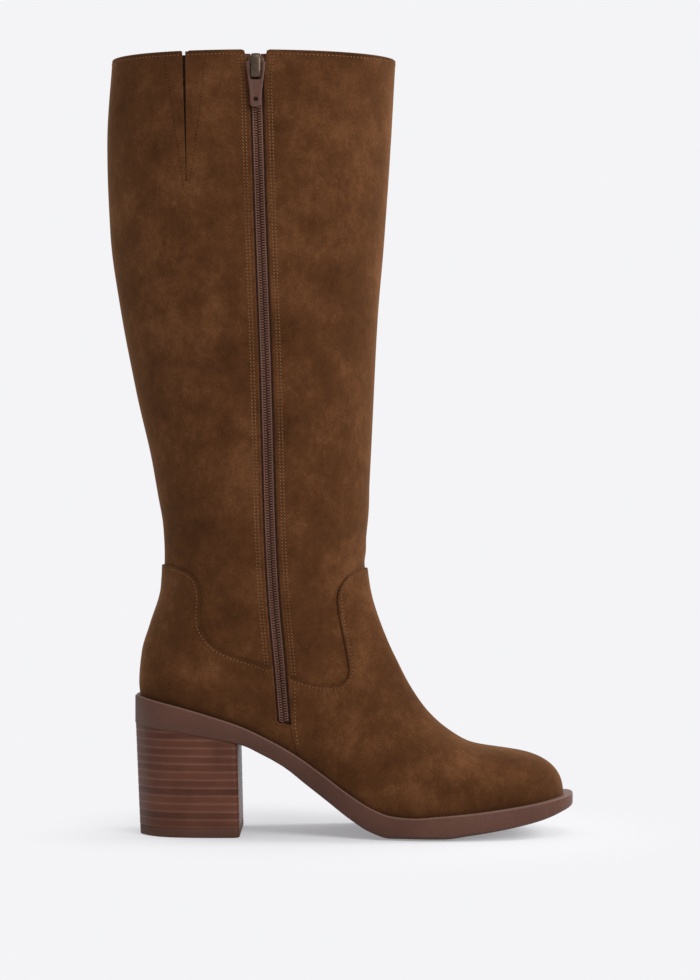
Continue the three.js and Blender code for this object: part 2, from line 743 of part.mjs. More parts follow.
const heelTipSolid = () => loft([heelRing(0), heelRing(tipThickness)], false);

// The insole lies on the outsole inside the upper.
function insoleSolid() {
  return form(-wall - gap)
    .intersect(belowSole(seatGap + insoleThickness))
    .subtract(belowSole(seatGap));
}

// A layer inside the wall, from depth to depth + thickness, within a region seen from the side.
function lining(depth, thickness, region) {
  return form(-depth).subtract(form(-depth - thickness, wall)).intersect(region);
}

// A point of the leg's inner side, at a height, on the zip line.
function zipPoint(z) {
  const rings = formSections(0).map((section) => ringOf(section, ringPoints));
  const k = rings.findIndex((ring) => ring[0].z <= z);
  const t = (rings[k - 1][0].z - z) / (rings[k - 1][0].z - rings[k][0].z);
  const level = rings[k - 1].map((p, i) => p.clone().lerp(rings[k][i], t));
  const wanted = zipX(z);
  for (let i = ringPoints / 2; i < ringPoints; i++) {
    const a = level[i];
    const b = level[(i + 1) % ringPoints];
    if (a.x <= wanted && b.x >= wanted) return a.clone().lerp(b, (wanted - a.x) / (b.x - a.x));
  }
  return level[0];
}

// The slider's place on the zip: its own +Z runs up the zip and its own -Y away from the leg.
const sliderZ = bootHeight - sliderDrop;
const zipAbove = zipPoint(sliderZ + sliderLength / 2);
const zipBelow = zipPoint(sliderZ - sliderLength / 2);
const zipLean = Math.atan2(zipAbove.y - zipBelow.y, zipAbove.z - zipBelow.z);
const sliderPlace = new THREE.Matrix4().makeRotationX(-zipLean).setPosition(zipPoint(sliderZ));
const placed = (solid) => solid.transform(sliderPlace.elements);

// A rounded outline in its own plane, centred on height z.
function roundedOutline(width, length, roundness, z) {
  const points = [];
  for (let i = 0; i < roundSteps; i++) {
    const angle = (2 * Math.PI * (i + 0.5)) / roundSteps;
    const u = Math.cos(angle);
    const v = Math.sin(angle);
    points.push([
      (width / 2) * Math.sign(u) * Math.abs(u) ** roundness,
      z + (length / 2) * Math.sign(v) * Math.abs(v) ** roundness,
    ]);
  }
  return points;
}

// A solid on an outline of [y, z] points, across the slider from one x to another.
function crossPrism(points, xLow, xHigh) {
  const shape = new THREE.Shape(points.map(([y, z]) => new THREE.Vector2(y, z)));
  const geometry = new THREE.ExtrudeGeometry(shape, { depth: xHigh - xLow, bevelEnabled: false });
  const turn = new THREE.Matrix4().makeBasis(
    new THREE.Vector3(0, 1, 0),
    new THREE.Vector3(0, 0, 1),
    new THREE.Vector3(1, 0, 0),
  );
  geometry.applyMatrix4(turn.setPosition(xLow, 0, 0));
  return solidOf(geometry);
}

const plateTop = gap + sliderPlate; // above the leg's surface
const plateBehind = wall + tapeThickness + 3 * gap; // below it, behind the tape
const neckTop = sliderLength / 2 - neckInset;
const neckBottom = neckTop - neckLength;
const hingeRise = plateTop + crownOpening / 2;

function sliderSolid() {
  const plateOutline = roundedOutline(sliderWidth, sliderLength, sliderRoundness, 0);
  const plate = (low) => sidePrism(plateOutline, low, low + sliderPlate);
  const neck = sidePrism(
    [
      [-neckWidth / 2, neckBottom],
      [neckWidth / 2, neckBottom],
      [neckWidth / 2, neckTop],
      [-neckWidth / 2, neckTop],
    ],
    -gap - sliderPlate / 2,
    plateBehind + sliderPlate / 2,
  );
  const arch = (length, height) => {
    const points = [[0, -length / 2]];
    for (let i = 0; i <= roundSteps / 2; i++) {
      const angle = (Math.PI * i) / (roundSteps / 2);
      const cosine = Math.cos(angle);
      const z = (-length / 2) * Math.sign(cosine) * Math.abs(cosine) ** sliderRoundness;
      points.push([-plateTop - height * Math.sin(angle) ** sliderRoundness, z]);
    }
    points.push([0, length / 2]);
    return points;
  };
  const underPlate = roundedOutline(2 * sliderWidth, 2 * crownLength, 1, 0);
  const crown = crossPrism(arch(crownLength, crownOpening + crownWall), -crownWidth / 2, crownWidth / 2)
    .subtract(crossPrism(arch(crownLength - 2 * crownWall, crownOpening), -crownWidth, crownWidth))
    .subtract(sidePrism(underPlate, -plateTop + sliderPlate / 2, cutOver));
  return placed(plate(-plateTop).add(plate(plateBehind)).add(neck).add(crown));
}

function pullSolid() {
  const top = barRise + pullShoulder;
  const end = barRise + pullShoulder - pullLength;
  const windowEnd = barRise - pullWindow;
  const windowHalf = crownWidth / 2 + pullClearance;
  const outline = [
    [-pullTopWidth / 2, top - pullCorner],
    [-pullWaistWidth / 2, top - pullWaistDrop],
    [-pullEndWidth / 2, end + pullCorner],
    [-pullEndWidth / 2 + pullCorner, end],
    [pullEndWidth / 2 - pullCorner, end],
    [pullEndWidth / 2, end + pullCorner],
    [pullWaistWidth / 2, top - pullWaistDrop],
    [pullTopWidth / 2, top - pullCorner],
    [pullTopWidth / 2 - pullCorner, top],
    [-pullTopWidth / 2 + pullCorner, top],
  ];
  const low = -hingeRise - pullThickness / 2;
  const high = -hingeRise + pullThickness / 2;
  const window = sidePrism(
    [
      [-windowHalf, windowEnd],
      [windowHalf, windowEnd],
      [windowHalf, top + cutOver],
      [-windowHalf, top + cutOver],
    ],
    low - cutOver,
    high + cutOver,
  );
  const holeZ = end + pullEndWidth / 2 + pullHoleRadius;
  const holeOutline = roundedOutline(2 * pullHoleRadius, 2 * pullHoleRadius, 1, holeZ);
  const hole = sidePrism(holeOutline, low - cutOver, high + cutOver);
  const bar = crossPrism(
    roundedOutline(2 * barRadius, 2 * barRadius, 1, barRise).map(([y, z]) => [y - hingeRise, z]),
    -windowHalf - cutOver,
    windowHalf + cutOver,
  );
  return placed(sidePrism(outline, low, high).subtract(window).subtract(hole).add(bar));
}

function tapeSolid() {
  const half = neckWidth / 2 + gap;
  const low = sliderZ + neckBottom - gap * 2;
  const slot = zipBand(low, bootHeight + cutOver, () => half);
  const region = zipBand(zipEnd - tapeBelow, bootHeight - tapeDrop, () => tapeWidth / 2);
  return lining(wall + gap, tapeThickness, region).subtract(slot);
}

function chainSolid() {
  const top = sliderZ + neckBottom - gap * 2;
  return lining(0, chainThickness, zipBand(zipEnd + chainEnd, top, () => chainWidth / 2));
}

function goreSolid() {
  const topX = atAlong(slitTopAlong);
  const endX = atAlong(slitEndAlong);
  const endZ = bootHeight - goreLength;
  const region = sidePrism(
    [
      [topX - goreWidth / 2, bootHeight - tapeDrop],
      [endX - goreEndWidth / 2, endZ],
      [endX + goreEndWidth / 2, endZ],
      [topX + goreWidth / 2, bootHeight - tapeDrop],
    ],
    -sideReach,
    0,
  );
  return lining(wall + gap, goreThickness, region);
}

const materials = {
  suede: new THREE.MeshStandardMaterial({ color: 0x5c3c26, roughness: 0.95, metalness: 0 }),
  sole: new THREE.MeshStandardMaterial({ color: 0x5a423b, roughness: 0.6, metalness: 0 }),
  stack: new THREE.MeshStandardMaterial({ color: 0x55322a, roughness: 0.5, metalness: 0 }),
  tip: new THREE.MeshStandardMaterial({ color: 0x2f211d, roughness: 0.7, metalness: 0 }),
  lining: new THREE.MeshStandardMaterial({ color: 0x8a6a4c, roughness: 0.9, metalness: 0 }),
  tape: new THREE.MeshStandardMaterial({ color: 0x4a3730, roughness: 0.85, metalness: 0 }),
  chain: new THREE.MeshStandardMaterial({ color: 0x5b443a, roughness: 0.55, metalness: 0 }),
  metal: new THREE.MeshStandardMaterial({ color: 0x6e5546, roughness: 0.35, metalness: 1 }),
};

const pieces = [
  { name: "upper", solid: upperSolid, material: materials.suede },
  { name: "vamp", solid: () => overlaySolid(vampRegion()), material: materials.suede },
  { name: "counter", solid: () => overlaySolid(counterRegion()), material: materials.suede },
  { name: "outsole", solid: outsoleSolid, material: materials.sole },
  { name: "heel", solid: heelSolid, material: materials.stack },
  { name: "heel_tip", solid: heelTipSolid, material: materials.tip },
  { name: "insole", solid: insoleSolid, material: materials.lining },
  { name: "zip_tape", solid: tapeSolid, material: materials.tape },
  { name: "zip_chain", solid: chainSolid, material: materials.chain },
  { name: "zip_slider", solid: sliderSolid, material: materials.metal },
  { name: "zip_pull", solid: pullSolid, material: materials.metal },
  { name: "elastic_gore", solid: goreSolid, material: materials.tape },
];

const boot = new THREE.Group();
for (const piece of pieces) {
  const mesh = new THREE.Mesh(geometryOf(piece.solid()), piece.material);
  mesh.name = piece.name;
  boot.add(mesh);
}

export default boot;
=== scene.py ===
# The looks of a knee-high suede boot with a stacked block heel and a full-length inside zip.
# Metres, +Z up, toe towards +X, inner side with the zip towards -Y.

import json
import math
import random

import bpy
from mathutils import Matrix, Vector, noise
from mathutils.bvhtree import BVHTree


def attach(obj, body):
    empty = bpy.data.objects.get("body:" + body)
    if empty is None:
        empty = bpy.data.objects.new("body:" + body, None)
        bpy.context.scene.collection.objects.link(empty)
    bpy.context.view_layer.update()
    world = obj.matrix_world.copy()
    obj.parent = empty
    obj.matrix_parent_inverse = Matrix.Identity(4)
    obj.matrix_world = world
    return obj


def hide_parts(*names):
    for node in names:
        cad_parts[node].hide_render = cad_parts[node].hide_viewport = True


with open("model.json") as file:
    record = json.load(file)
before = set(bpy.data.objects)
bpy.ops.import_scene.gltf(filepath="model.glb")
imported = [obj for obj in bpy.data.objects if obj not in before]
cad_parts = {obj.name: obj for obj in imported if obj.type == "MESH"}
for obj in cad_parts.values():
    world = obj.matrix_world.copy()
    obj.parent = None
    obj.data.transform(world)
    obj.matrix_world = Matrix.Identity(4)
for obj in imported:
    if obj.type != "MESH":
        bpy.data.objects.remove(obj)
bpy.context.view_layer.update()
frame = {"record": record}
MM = 0.001
random.seed(7)

# Camera

def make_camera(place, lens):
    data = bpy.data.cameras.new("camera")
    data.lens = lens
    data.sensor_width = 36
    data.clip_start = 0.05
    data.clip_end = 50
    camera = bpy.data.objects.new("camera", data)
    camera.location = place
    camera.rotation_euler = (math.pi / 2, 0, 0)
    bpy.context.scene.collection.objects.link(camera)
    bpy.context.scene.camera = camera


make_camera(Vector((0.089, -1.6, 0.1932)), 104.03)

# Sole and heel
SOLE_LENGTH = 246 * MM
HEEL_HEIGHT = 78.5 * MM
BALL_THICKNESS = 12.4 * MM
SEAT_THICKNESS = 16 * MM
TOE_LIFT = 11.4 * MM
TOE_SPRING = 15 * MM
WELT_WIDTH = 3 * MM
CROWN_RISE = 1.8 * MM
TIP_BACK = 29 * MM
TIP_FRONT = 27.8 * MM
HEEL_BACK_SLOPE = 2.6 * MM
HEEL_BREAST_SLOPE = 1.6 * MM
HEEL_SETBACK = 0.3 * MM
HEEL_CORNER = 3 * MM
TIP_THICKNESS = 5.5 * MM
LAYER = 4.43 * MM
LAYER_GROOVE = 0.14 * MM

# Foot and leg
BALL_WIDTH = 88 * MM
ANKLE_HEIGHT = 160 * MM
ANKLE_DEPTH = 113.8 * MM
ANKLE_WIDTH = 75 * MM
BOOT_HEIGHT = 435 * MM
COLLAR_DEPTH = 159.8 * MM
CALF_WIDTH = 97 * MM
LEG_MIDDLE = 0.2968
TOE_CAP = 29.4 * MM
TOE_INWARD = 3 * MM
WALL = 2 * MM
OVERLAY = 1.1 * MM
GAP = 0.3 * MM
REACH = OVERLAY + GAP

# Zip and gore
ZIP_OPENING = 8.4 * MM
ZIP_FLARE = 4 * MM
ZIP_FLARE_DEPTH = 22 * MM
TAPE_WIDTH = 19 * MM
COIL_PITCH = 1.42 * MM
SLIT_LENGTH = 72 * MM
SLIT_WIDTH = 1.8 * MM
SLIT_END_WIDTH = 0.9 * MM
GORE_WIDTH = 22 * MM
GORE_END_WIDTH = GORE_WIDTH / 4
GORE_LENGTH = 78 * MM
GORE_THICKNESS = 1 * MM
TAPE_THICKNESS = 0.7 * MM
TAPE_DROP = 1.5 * MM

# Stitches
STITCH_LENGTH = 1.4 * MM
STITCH_PITCH = 2.2 * MM
STITCH_WIDTH = 0.4 * MM
STITCH_TURN = 0.12
STITCH_RISE = (0.02, 0.07)

# Painted contact shadow and grime of the leather just above the outsole, and the height over which it fades
CONTACT_SHADE_AND_GRIME = 0.6
CONTACT_SHADE_HEIGHT = 4.5 * MM

SOLE_BACK = -(TIP_BACK + HEEL_BACK_SLOPE)
SOLE_TIP = SOLE_BACK + SOLE_LENGTH

# Share along the outsole, climb over the ball as a share of the heel's, lift as a share of the toe's.
SOLE_TOP_ROWS = (
    (0, 1, 0),
    (0.1, 0.915, 0),
    (0.18, 0.83, 0),
    (0.245, 0.747, 0),
    (0.31, 0.63, 0),
    (0.37, 0.5, 0),
    (0.43, 0.342, 0),
    (0.49, 0.18, 0),
    (0.54, 0.07, 0),
    (0.585, 0.012, 0),
    (0.63, 0, 0),
    (0.69, 0, 0.085),
    (0.78, 0, 0.26),
    (0.87, 0, 0.51),
    (1, 0, 1),
)

# Share along the outsole, height as a share of the heel seat's, and as a share of the toe's spring.
SOLE_UNDER_ROWS = (
    (0, 1, 0),
    (0.245, 0.822, 0),
    (0.29, 0.737, 0),
    (0.34, 0.622, 0),
    (0.39, 0.465, 0),
    (0.44, 0.312, 0),
    (0.49, 0.16, 0),
    (0.535, 0.052, 0),
    (0.58, 0, 0),
    (0.7, 0, 0),
    (0.76, 0, 0.12),
    (0.83, 0, 0.29),
    (0.92, 0, 0.6),
    (1, 0, 1),
)

# Level sections of the leg: level from ankle to collar, and the shares of the collar's extra depth
# in front and behind, and of the calf's extra width.
LEG_ROWS = (
    (1, 0.357, 0.643, 0.555),
    (0.83, 0.302, 0.706, 0.86),
    (0.655, 0.23, 0.67, 1),
    (0.49, 0.149, 0.545, 0.87),
    (0.327, 0.098, 0.359, 0.6),
    (0.164, 0.05, 0.14, 0.27),
    (0, 0, 0, 0),
)

# Leaning sections of the foot: front point along and rise, back point along and rise, inner and
# outer half widths, level of the widest part, and the exponents above and below it.
FOOT_ROWS = (
    (0.524, 0.943, 0.062, 0.784, 0.423, 0.423, 0, 2, 2.05),
    (0.527, 0.9, 0.037, 0.509, 0.412, 0.414, -0.04, 2, 2.15),
    (0.531, 0.854, 0.018, 0.3, 0.398, 0.402, -0.08, 2, 2.3),
    (0.537, 0.809, 0.0125, 0.1, 0.382, 0.388, -0.1, 2, 2.4),
    (0.546, 0.764, 0.025, -0.08, 0.366, 0.374, -0.15, 2, 2.5),
    (0.558, 0.715, 0.096, -0.13, 0.352, 0.366, -0.26, 1.95, 2.8),
    (0.574, 0.657, 0.218, -0.12, 0.325, 0.37, -0.4, 1.9, 3.2),
    (0.595, 0.586, 0.332, -0.124, 0.302, 0.392, -0.45, 1.9, 3.4),
    (0.622, 0.498, 0.446, -0.126, 0.35, 0.445, -0.45, 1.9, 3.4),
    (0.663, 0.393, 0.551, -0.122, 0.425, 0.487, -0.43, 1.95, 3.4),
    (0.71, 0.309, 0.649, -0.116, 0.466, 0.498, -0.4, 2.05, 3.4),
    (0.771, 0.242, 0.75, -0.118, 0.45, 0.464, -0.4, 2.15, 3.4),
    (0.852, 0.202, 0.852, -0.116, 0.4, 0.385, -0.4, 2.2, 3.4),
)
TOE_PROFILE = 2.8
TOE_PLAN = 2.5
TOE_TIP_SINK = 1.5 * MM

# Zip line on the inner side: share of the boot's height, share along the outsole.
ZIP_ROWS = (
    (1, 0.279),
    (0.78, 0.291),
    (0.6, 0.302),
    (0.385, 0.3115),
    (0.3, 0.3195),
    (0.225, 0.331),
    (0.143, 0.342),
)
SLIT_TOP = 0.117
SLIT_END = 0.124

# Edges of the panels seen from the side: share along the outsole, share of the ankle's height.
VAMP_EDGE = (
    (0.56, 0.932),
    (0.525, 0.93),
    (0.488, 0.905),
    (0.466, 0.85),
    (0.466, 0.79),
    (0.477, 0.7),
    (0.487, 0.62),
    (0.489, 0.568),
    (0.474, 0.532),
    (0.44, 0.525),
    (0.405, 0.533),
    (0.365, 0.552),
    (0.33, 0.575),
)
COUNTER_EDGE = (
    (0, 0.945),
    (0.065, 0.942),
    (0.108, 0.93),
    (0.14, 0.898),
    (0.151, 0.84),
    (0.15, 0.755),
    (0.162, 0.705),
    (0.19, 0.66),
    (0.24, 0.625),
    (0.29, 0.6),
    (0.33, 0.575),
)
SIDE_SEAM = (
    (0.33, 0.575),
    (0.338, 0.5),
    (0.352, 0.415),
    (0.361, 0.343),
    (0.371, 0.285),
    (0.38, 0.2),
)

# Fineness of the meshes
RING_POINTS = 144
LEG_STEPS = 12
FOOT_STEPS = 8
TOE_STEPS = 22
OUTLINE_POINTS = 300
SIDE_POINTS = 160
TURN_WEIGHT = 22 * MM
SOLE_CURVE_STEPS = 120
ZIP_STEPS = 90
SEAM_STEPS = 24
EDGE_STEPS = 120
SEWN_STEPS = 150
BRIDGE_STEPS = 24
DENSE_STEPS = 12
FEATHER_STEPS = 16
FEATHER_TOE_STEPS = 47
COLLAR_STEPS = 600
SLIT_STEPS = 30
CORD_STEPS = 150
RELAX_ROUNDS = 6

# Soft spots: how far out they count, in half lengths, and how near the middle they fade
SPOT_REACH = 2.5
SPOT_FADE = 12 * MM


# A smooth curve through rows of (key, value) that never overshoots them.
def through(rows):
    count = len(rows)
    keys = [row[0] for row in rows]
    values = [row[1] for row in rows]
    slopes = [(values[i + 1] - values[i]) / (keys[i + 1] - keys[i]) for i in range(count - 1)]
    tangents = [slopes[0]]
    for i in range(1, count - 1):
        product = slopes[i - 1] * slopes[i]
        tangents.append(0 if product <= 0 else 2 * product / (slopes[i - 1] + slopes[i]))
    tangents.append(slopes[-1])
    rising = keys[-1] > keys[0]

    def value_at(at):
        i = 0
        while i < count - 2 and (at > keys[i + 1] if rising else at < keys[i + 1]):
            i += 1
        span = keys[i + 1] - keys[i]
        t = min(1, max(0, (at - keys[i]) / span))
        straight = values[i] + (values[i + 1] - values[i]) * t * t * (3 - 2 * t)
        return straight + span * (tangents[i] * t * (1 - t) ** 2 - tangents[i + 1] * t * t * (1 - t))

    return value_at


def along(x):
    return (x - SOLE_BACK) / SOLE_LENGTH


def at_along(share):
    return SOLE_BACK + share * SOLE_LENGTH


climb = through([(row[0], row[1]) for row in SOLE_TOP_ROWS])
lift = through([(row[0], row[2]) for row in SOLE_TOP_ROWS])
seat = through([(row[0], row[1]) for row in SOLE_UNDER_ROWS])
spring = through([(row[0], row[2]) for row in SOLE_UNDER_ROWS])
zip_along = through(ZIP_ROWS)
ZIP_END = ZIP_ROWS[-1][0] * BOOT_HEIGHT


def sole_top(x):
    return BALL_THICKNESS + climb(along(x)) * (HEEL_HEIGHT - BALL_THICKNESS) + lift(along(x)) * TOE_LIFT


def sole_under(x):
    return seat(along(x)) * (HEEL_HEIGHT - SEAT_THICKNESS) + spring(along(x)) * TOE_SPRING


def zip_x(z):
    return at_along(zip_along(z / BOOT_HEIGHT))


# The base form's sections, collar first, as nine columns in metres.
def section_rows():
    middle = at_along(LEG_MIDDLE)
    gain = COLLAR_DEPTH - ANKLE_DEPTH
    rows = []
    for level, front, back, width in LEG_ROWS:
        z = ANKLE_HEIGHT + level * (BOOT_HEIGHT - ANKLE_HEIGHT)
        half = (ANKLE_WIDTH + width * (CALF_WIDTH - ANKLE_WIDTH)) / 2
        front_x = middle + ANKLE_DEPTH / 2 + front * gain
        back_x = middle - ANKLE_DEPTH / 2 - back * gain
        rows.append((front_x, z, back_x, z, half, half, 0, 2, 2))
    instep_rise = ANKLE_HEIGHT - sole_top(middle + ANKLE_DEPTH / 2)
    heel_rise = ANKLE_HEIGHT - HEEL_HEIGHT
    for f_along, f_rise, b_along, b_rise, inner, outer, widest, top, base in FOOT_ROWS:
        front_x = at_along(f_along)
        back_x = at_along(b_along)
        front_z = sole_top(front_x) + f_rise * instep_rise
        back_z = sole_top(back_x) + b_rise * heel_rise
        widths = (inner * BALL_WIDTH, outer * BALL_WIDTH)
        rows.append((front_x, front_z, back_x, back_z, *widths, widest, top, base))
    return rows


SECTIONS = section_rows()
LAST = len(SECTIONS) - 1
COLUMNS = [through([(i, row[c]) for i, row in enumerate(SECTIONS)]) for c in range(9)]


def outward(x_column, z_column, at, side):
    dx = x_column(at + 0.01) - x_column(at - 0.01)
    dz = z_column(at + 0.01) - z_column(at - 0.01)
    length = math.hypot(dx, dz)
    return -dz / length * side, dx / length * side


# One section of the form, drawn out from the base form by reach: its front and back points, its
# inner and outer half widths, its shift, its widest level and its two exponents.
def station(at, reach):
    fx, fz, bx, bz, inner, outer, widest, top, base = [column(at) for column in COLUMNS]
    f_out = outward(COLUMNS[0], COLUMNS[1], at, 1)
    b_out = outward(COLUMNS[2], COLUMNS[3], at, -1)
    front = (fx + reach * f_out[0], fz + reach * f_out[1])
    back = (bx + reach * b_out[0], bz + reach * b_out[1])
    return front, back, inner + reach, outer + reach, 0, widest, top, base


def toe_station(angle, reach):
    front, back, inner, outer, _, widest, top, base = station(LAST, reach)
    before = station(LAST - 0.2, reach)
    tip_z = sole_top(COLUMNS[0](LAST) + TOE_CAP) - TOE_TIP_SINK
    length = TOE_CAP + reach
    t = math.sin(angle)
    profile = max(0, 1 - t**TOE_PROFILE) ** (1 / TOE_PROFILE)
    plan = max(0, 1 - t**TOE_PLAN) ** (1 / TOE_PLAN)
    run = (front[0] + back[0] - before[0][0] - before[1][0]) / 2

    def end(now, then):
        z = now[1] + (now[1] - then[1]) / (now[0] - then[0]) * length * t
        return now[0] + length * t, tip_z + (z - tip_z) * profile

    inner_end = (inner + (inner - before[2]) / run * length * t) * plan
    outer_end = (outer + (outer - before[3]) / run * length * t) * plan
    return (end(front, before[0]), end(back, before[1]), inner_end, outer_end,
            -TOE_INWARD * t * t, widest, top, base)


# The same line with steps that are equal, or finer where it turns.
def evenly(points, steps, turn_weight=0):
    lengths = [0]
    for i in range(1, len(points)):
        step = points[i] - points[i - 1]
        turn = 0
        if turn_weight and i + 1 < len(points):
            after = points[i + 1] - points[i]
            if step.length > 0 and after.length > 0:
                turn = step.angle(after)
        lengths.append(lengths[-1] + step.length + turn_weight * turn)
    result = []
    j = 0
    for i in range(steps + 1):
        wanted = lengths[-1] * i / steps
        while j < len(points) - 2 and lengths[j + 1] < wanted:
            j += 1
        span = lengths[j + 1] - lengths[j]
        t = min(1, (wanted - lengths[j]) / span) if span > 0 else 0
        result.append(points[j].lerp(points[j + 1], t))
    return result


# The closed outline of a section: the first point at its front or top, the outer side first.
def ring_of(section):
    front, back, inner, outer, shift, widest, top, base = section
    mid_x, mid_z = (front[0] + back[0]) / 2, (front[1] + back[1]) / 2
    half_x, half_z = (front[0] - back[0]) / 2, (front[1] - back[1]) / 2

    def one_side(width, sign):
        points = []
        for i in range(SIDE_POINTS + 1):
            angle = math.pi * i / SIDE_POINTS
            upper_half = angle <= math.pi / 2
            power = 2 / (top if upper_half else base)
            span = 1 - widest if upper_half else 1 + widest
            cosine = math.cos(angle)
            v = widest + math.copysign(span * abs(cosine) ** power, cosine)
            w = width * abs(math.sin(angle)) ** power
            points.append(Vector((mid_x + half_x * v, shift + sign * w, mid_z + half_z * v)))
        return evenly(points, RING_POINTS // 2, TURN_WEIGHT)

    outer_side = one_side(outer, 1)
    inner_side = one_side(inner, -1)
    inner_side.reverse()
    return outer_side[:-1] + inner_side[:-1]


def form_stations(reach):
    stations = []
    for i in range(LAST):
        steps = LEG_STEPS if i < len(LEG_ROWS) - 1 else FOOT_STEPS
        stations += [station(i + j / steps, reach) for j in range(steps)]
    stations += [toe_station(math.pi / 2 * i / TOE_STEPS, reach) for i in range(TOE_STEPS + 1)]
    return stations


def form_rings(reach):
    return [ring_of(section) for section in form_stations(reach)]


# Soft troughs (negative) and ridges of worn-in suede, on one side of the boot (-1 inner, 1 outer,
# 0 both): place along the sole, height, half length, half width, lean from level in degrees, depth.
# Lengths are in millimetres.
CREASES = (
    (-1, 0.475, 172, 26, 7, 24, -0.5),
    (-1, 0.45, 150, 22, 6, 14, 0.4),
    (0, 0.52, 166, 16, 6, 8, -0.5),
    (0, 0.51, 184, 16, 7, -4, 0.35),
    (0, 0.1, 176, 18, 7, -12, -0.45),
    (0, 0.12, 158, 16, 6, -20, 0.35),
    (1, 0.3, 168, 34, 8, 4, -0.5),
    (-1, 0.225, 108, 14, 9, 20, 0.45),
    (0, 0.63, 52, 18, 7, 64, -0.45),
    (0, 0.7, 40, 12, 6, 70, 0.35),
    (0, 0.16, 300, 44, 14, 84, -0.5),
    (0, 0.45, 330, 50, 16, 88, -0.4),
    (-1, 0.4, 250, 44, 13, 82, -0.45),
)


# Lighter (positive) and darker patches of the nap, on one side of the boot: place along the sole,
# height, half length, half width, lean from level in degrees, lightness. Lengths are in millimetres.
PATCHES = (
    (-1, 0.105, 360, 26, 9, -16, 0.9),
    (-1, 0.04, 342, 20, 9, 10, -0.7),
    (-1, 0.02, 393, 34, 24, 80, -0.7),
    (-1, 0.445, 384, 22, 9, 6, 0.4),
    (-1, 0.5, 371, 16, 7, -8, 0.3),
    (-1, 0.41, 337, 13, 9, 10, -0.9),
    (-1, 0.435, 312, 14, 8, -20, -0.8),
    (-1, 0.217, 272, 62, 6, 88, -0.7),
    (-1, 0.18, 276, 22, 14, 80, 0.4),
    (-1, 0.06, 250, 30, 9, -76, -0.4),
    (-1, 0.245, 210, 13, 8, 80, 0.7),
    (-1, 0.42, 225, 22, 9, 50, 0.4),
    (-1, 0.355, 171, 11, 8, 0, 0.8),
    (-1, 0.11, 168, 22, 11, 0, -0.8),
    (-1, 0.12, 118, 18, 13, 20, -0.6),
    (-1, 0.155, 91, 15, 6, -4, 1.2),
    (-1, 0.08, 140, 14, 7, 30, 0.4),
    (-1, 0.45, 140, 15, 12, 60, 0.4),
    (-1, 0.3, 122, 12, 8, 20, -0.4),
    (-1, 0.238, 130, 20, 14, 90, -0.5),
    (-1, 0.423, 116, 20, 16, 0, -0.7),
    (-1, 0.43, 84, 20, 9, -30, 0.4),
    (-1, 0.545, 86, 18, 8, -52, 0.6),
    (-1, 0.65, 60, 15, 6, -30, 0.7),
    (-1, 0.49, 36, 22, 7, -18, -0.9),
    (-1, 0.59, 44, 14, 5, 8, -0.7),
    (-1, 0.71, 30, 16, 5, 0, -0.6),
    (-1, 0.83, 37, 20, 6, -8, 0.5),
    (1, 0.1, 350, 30, 12, 20, 0.7),
    (1, 0.4, 320, 24, 14, 70, -0.7),
    (1, 0.2, 240, 40, 12, 80, 0.6),
    (1, 0.35, 170, 24, 10, 10, -0.6),
    (1, 0.15, 100, 18, 9, 0, 0.8),
    (1, 0.6, 50, 22, 8, -20, 0.6),
    (1, 0.75, 30, 20, 6, 0, -0.6),
)


# A table's rows with places in metres, the lean worked out and the amount in its unit.
def prepared(rows, unit):
    result = []
    for side, share, level, length, width, lean, amount in rows:
        half_length = length * MM
        half_width = width * MM
        angle = math.radians(lean)
        ways = (math.cos(angle) / half_length, math.sin(angle) / half_length,
                math.cos(angle) / half_width, math.sin(angle) / half_width)
        reach = SPOT_REACH * max(half_length, half_width)
        result.append((side, at_along(share), level * MM, reach, ways, amount * unit))
    return result


# Sum of a table's soft spots at a point.
def spots(rows, point):
    total = 0
    for side, x, z, reach, ways, amount in rows:
        dx = point.x - x
        dz = point.z - z
        if abs(dx) > reach or abs(dz) > reach or side * point.y < 0:
            continue
        u = dx * ways[0] + dz * ways[1]
        v = dz * ways[2] - dx * ways[3]
        fade = min(1, abs(point.y) / SPOT_FADE) if side else 1
        total += amount * fade * math.exp(-u * u - v * v)
    return total


CREASE_SPOTS = prepared(CREASES, MM)
PATCH_SPOTS = prepared(PATCHES, 1)


# Unevenness of the suede: waves per metre, depth and place in the noise.
WAVES = (
    (14, 0.3 * MM, Vector((3.1, 0.7, 5.3))),
    (34, 0.12 * MM, Vector((9.1, 4.4, 1.7))),
)


# Unevenness and creases of the suede, in metres outwards.
def relief(point):
    waves = sum(depth * noise.noise(point * scale + shift) for scale, depth, shift in WAVES)
    return waves + spots(CREASE_SPOTS, point)


def relieved(rings):
    result = []
    for ring in rings:
        centre = sum(ring, Vector()) / len(ring)
        row = []
        for p in ring:
            away = (p - centre).normalized() if (p - centre).length > 1e-9 else Vector()
            row.append(p + away * relief(p))
        result.append(row)
    return result


def select_only(piece):
    bpy.ops.object.select_all(action="DESELECT")
    piece.select_set(True)
    bpy.context.view_layer.objects.active = piece


# Turns all faces outwards and leaves edit mode.
def face_out():
    bpy.ops.mesh.select_all(action="SELECT")
    bpy.ops.mesh.normals_make_consistent(inside=False)
    bpy.ops.object.mode_set(mode="OBJECT")


# Joins doubled points and turns the faces outwards.
def weld(piece, distance=1e-6):
    select_only(piece)
    bpy.ops.object.mode_set(mode="EDIT")
    bpy.ops.mesh.select_all(action="SELECT")
    bpy.ops.mesh.remove_doubles(threshold=distance)
    face_out()


def smooth(piece, angle=40):
    select_only(piece)
    bpy.ops.object.shade_smooth_by_angle(angle=math.radians(angle))


def finish_with(piece, kind, **settings):
    select_only(piece)
    modifier = piece.modifiers.new(kind.title(), kind)
    for name, value in settings.items():
        setattr(modifier, name, value)
    bpy.ops.object.modifier_apply(modifier=modifier.name)


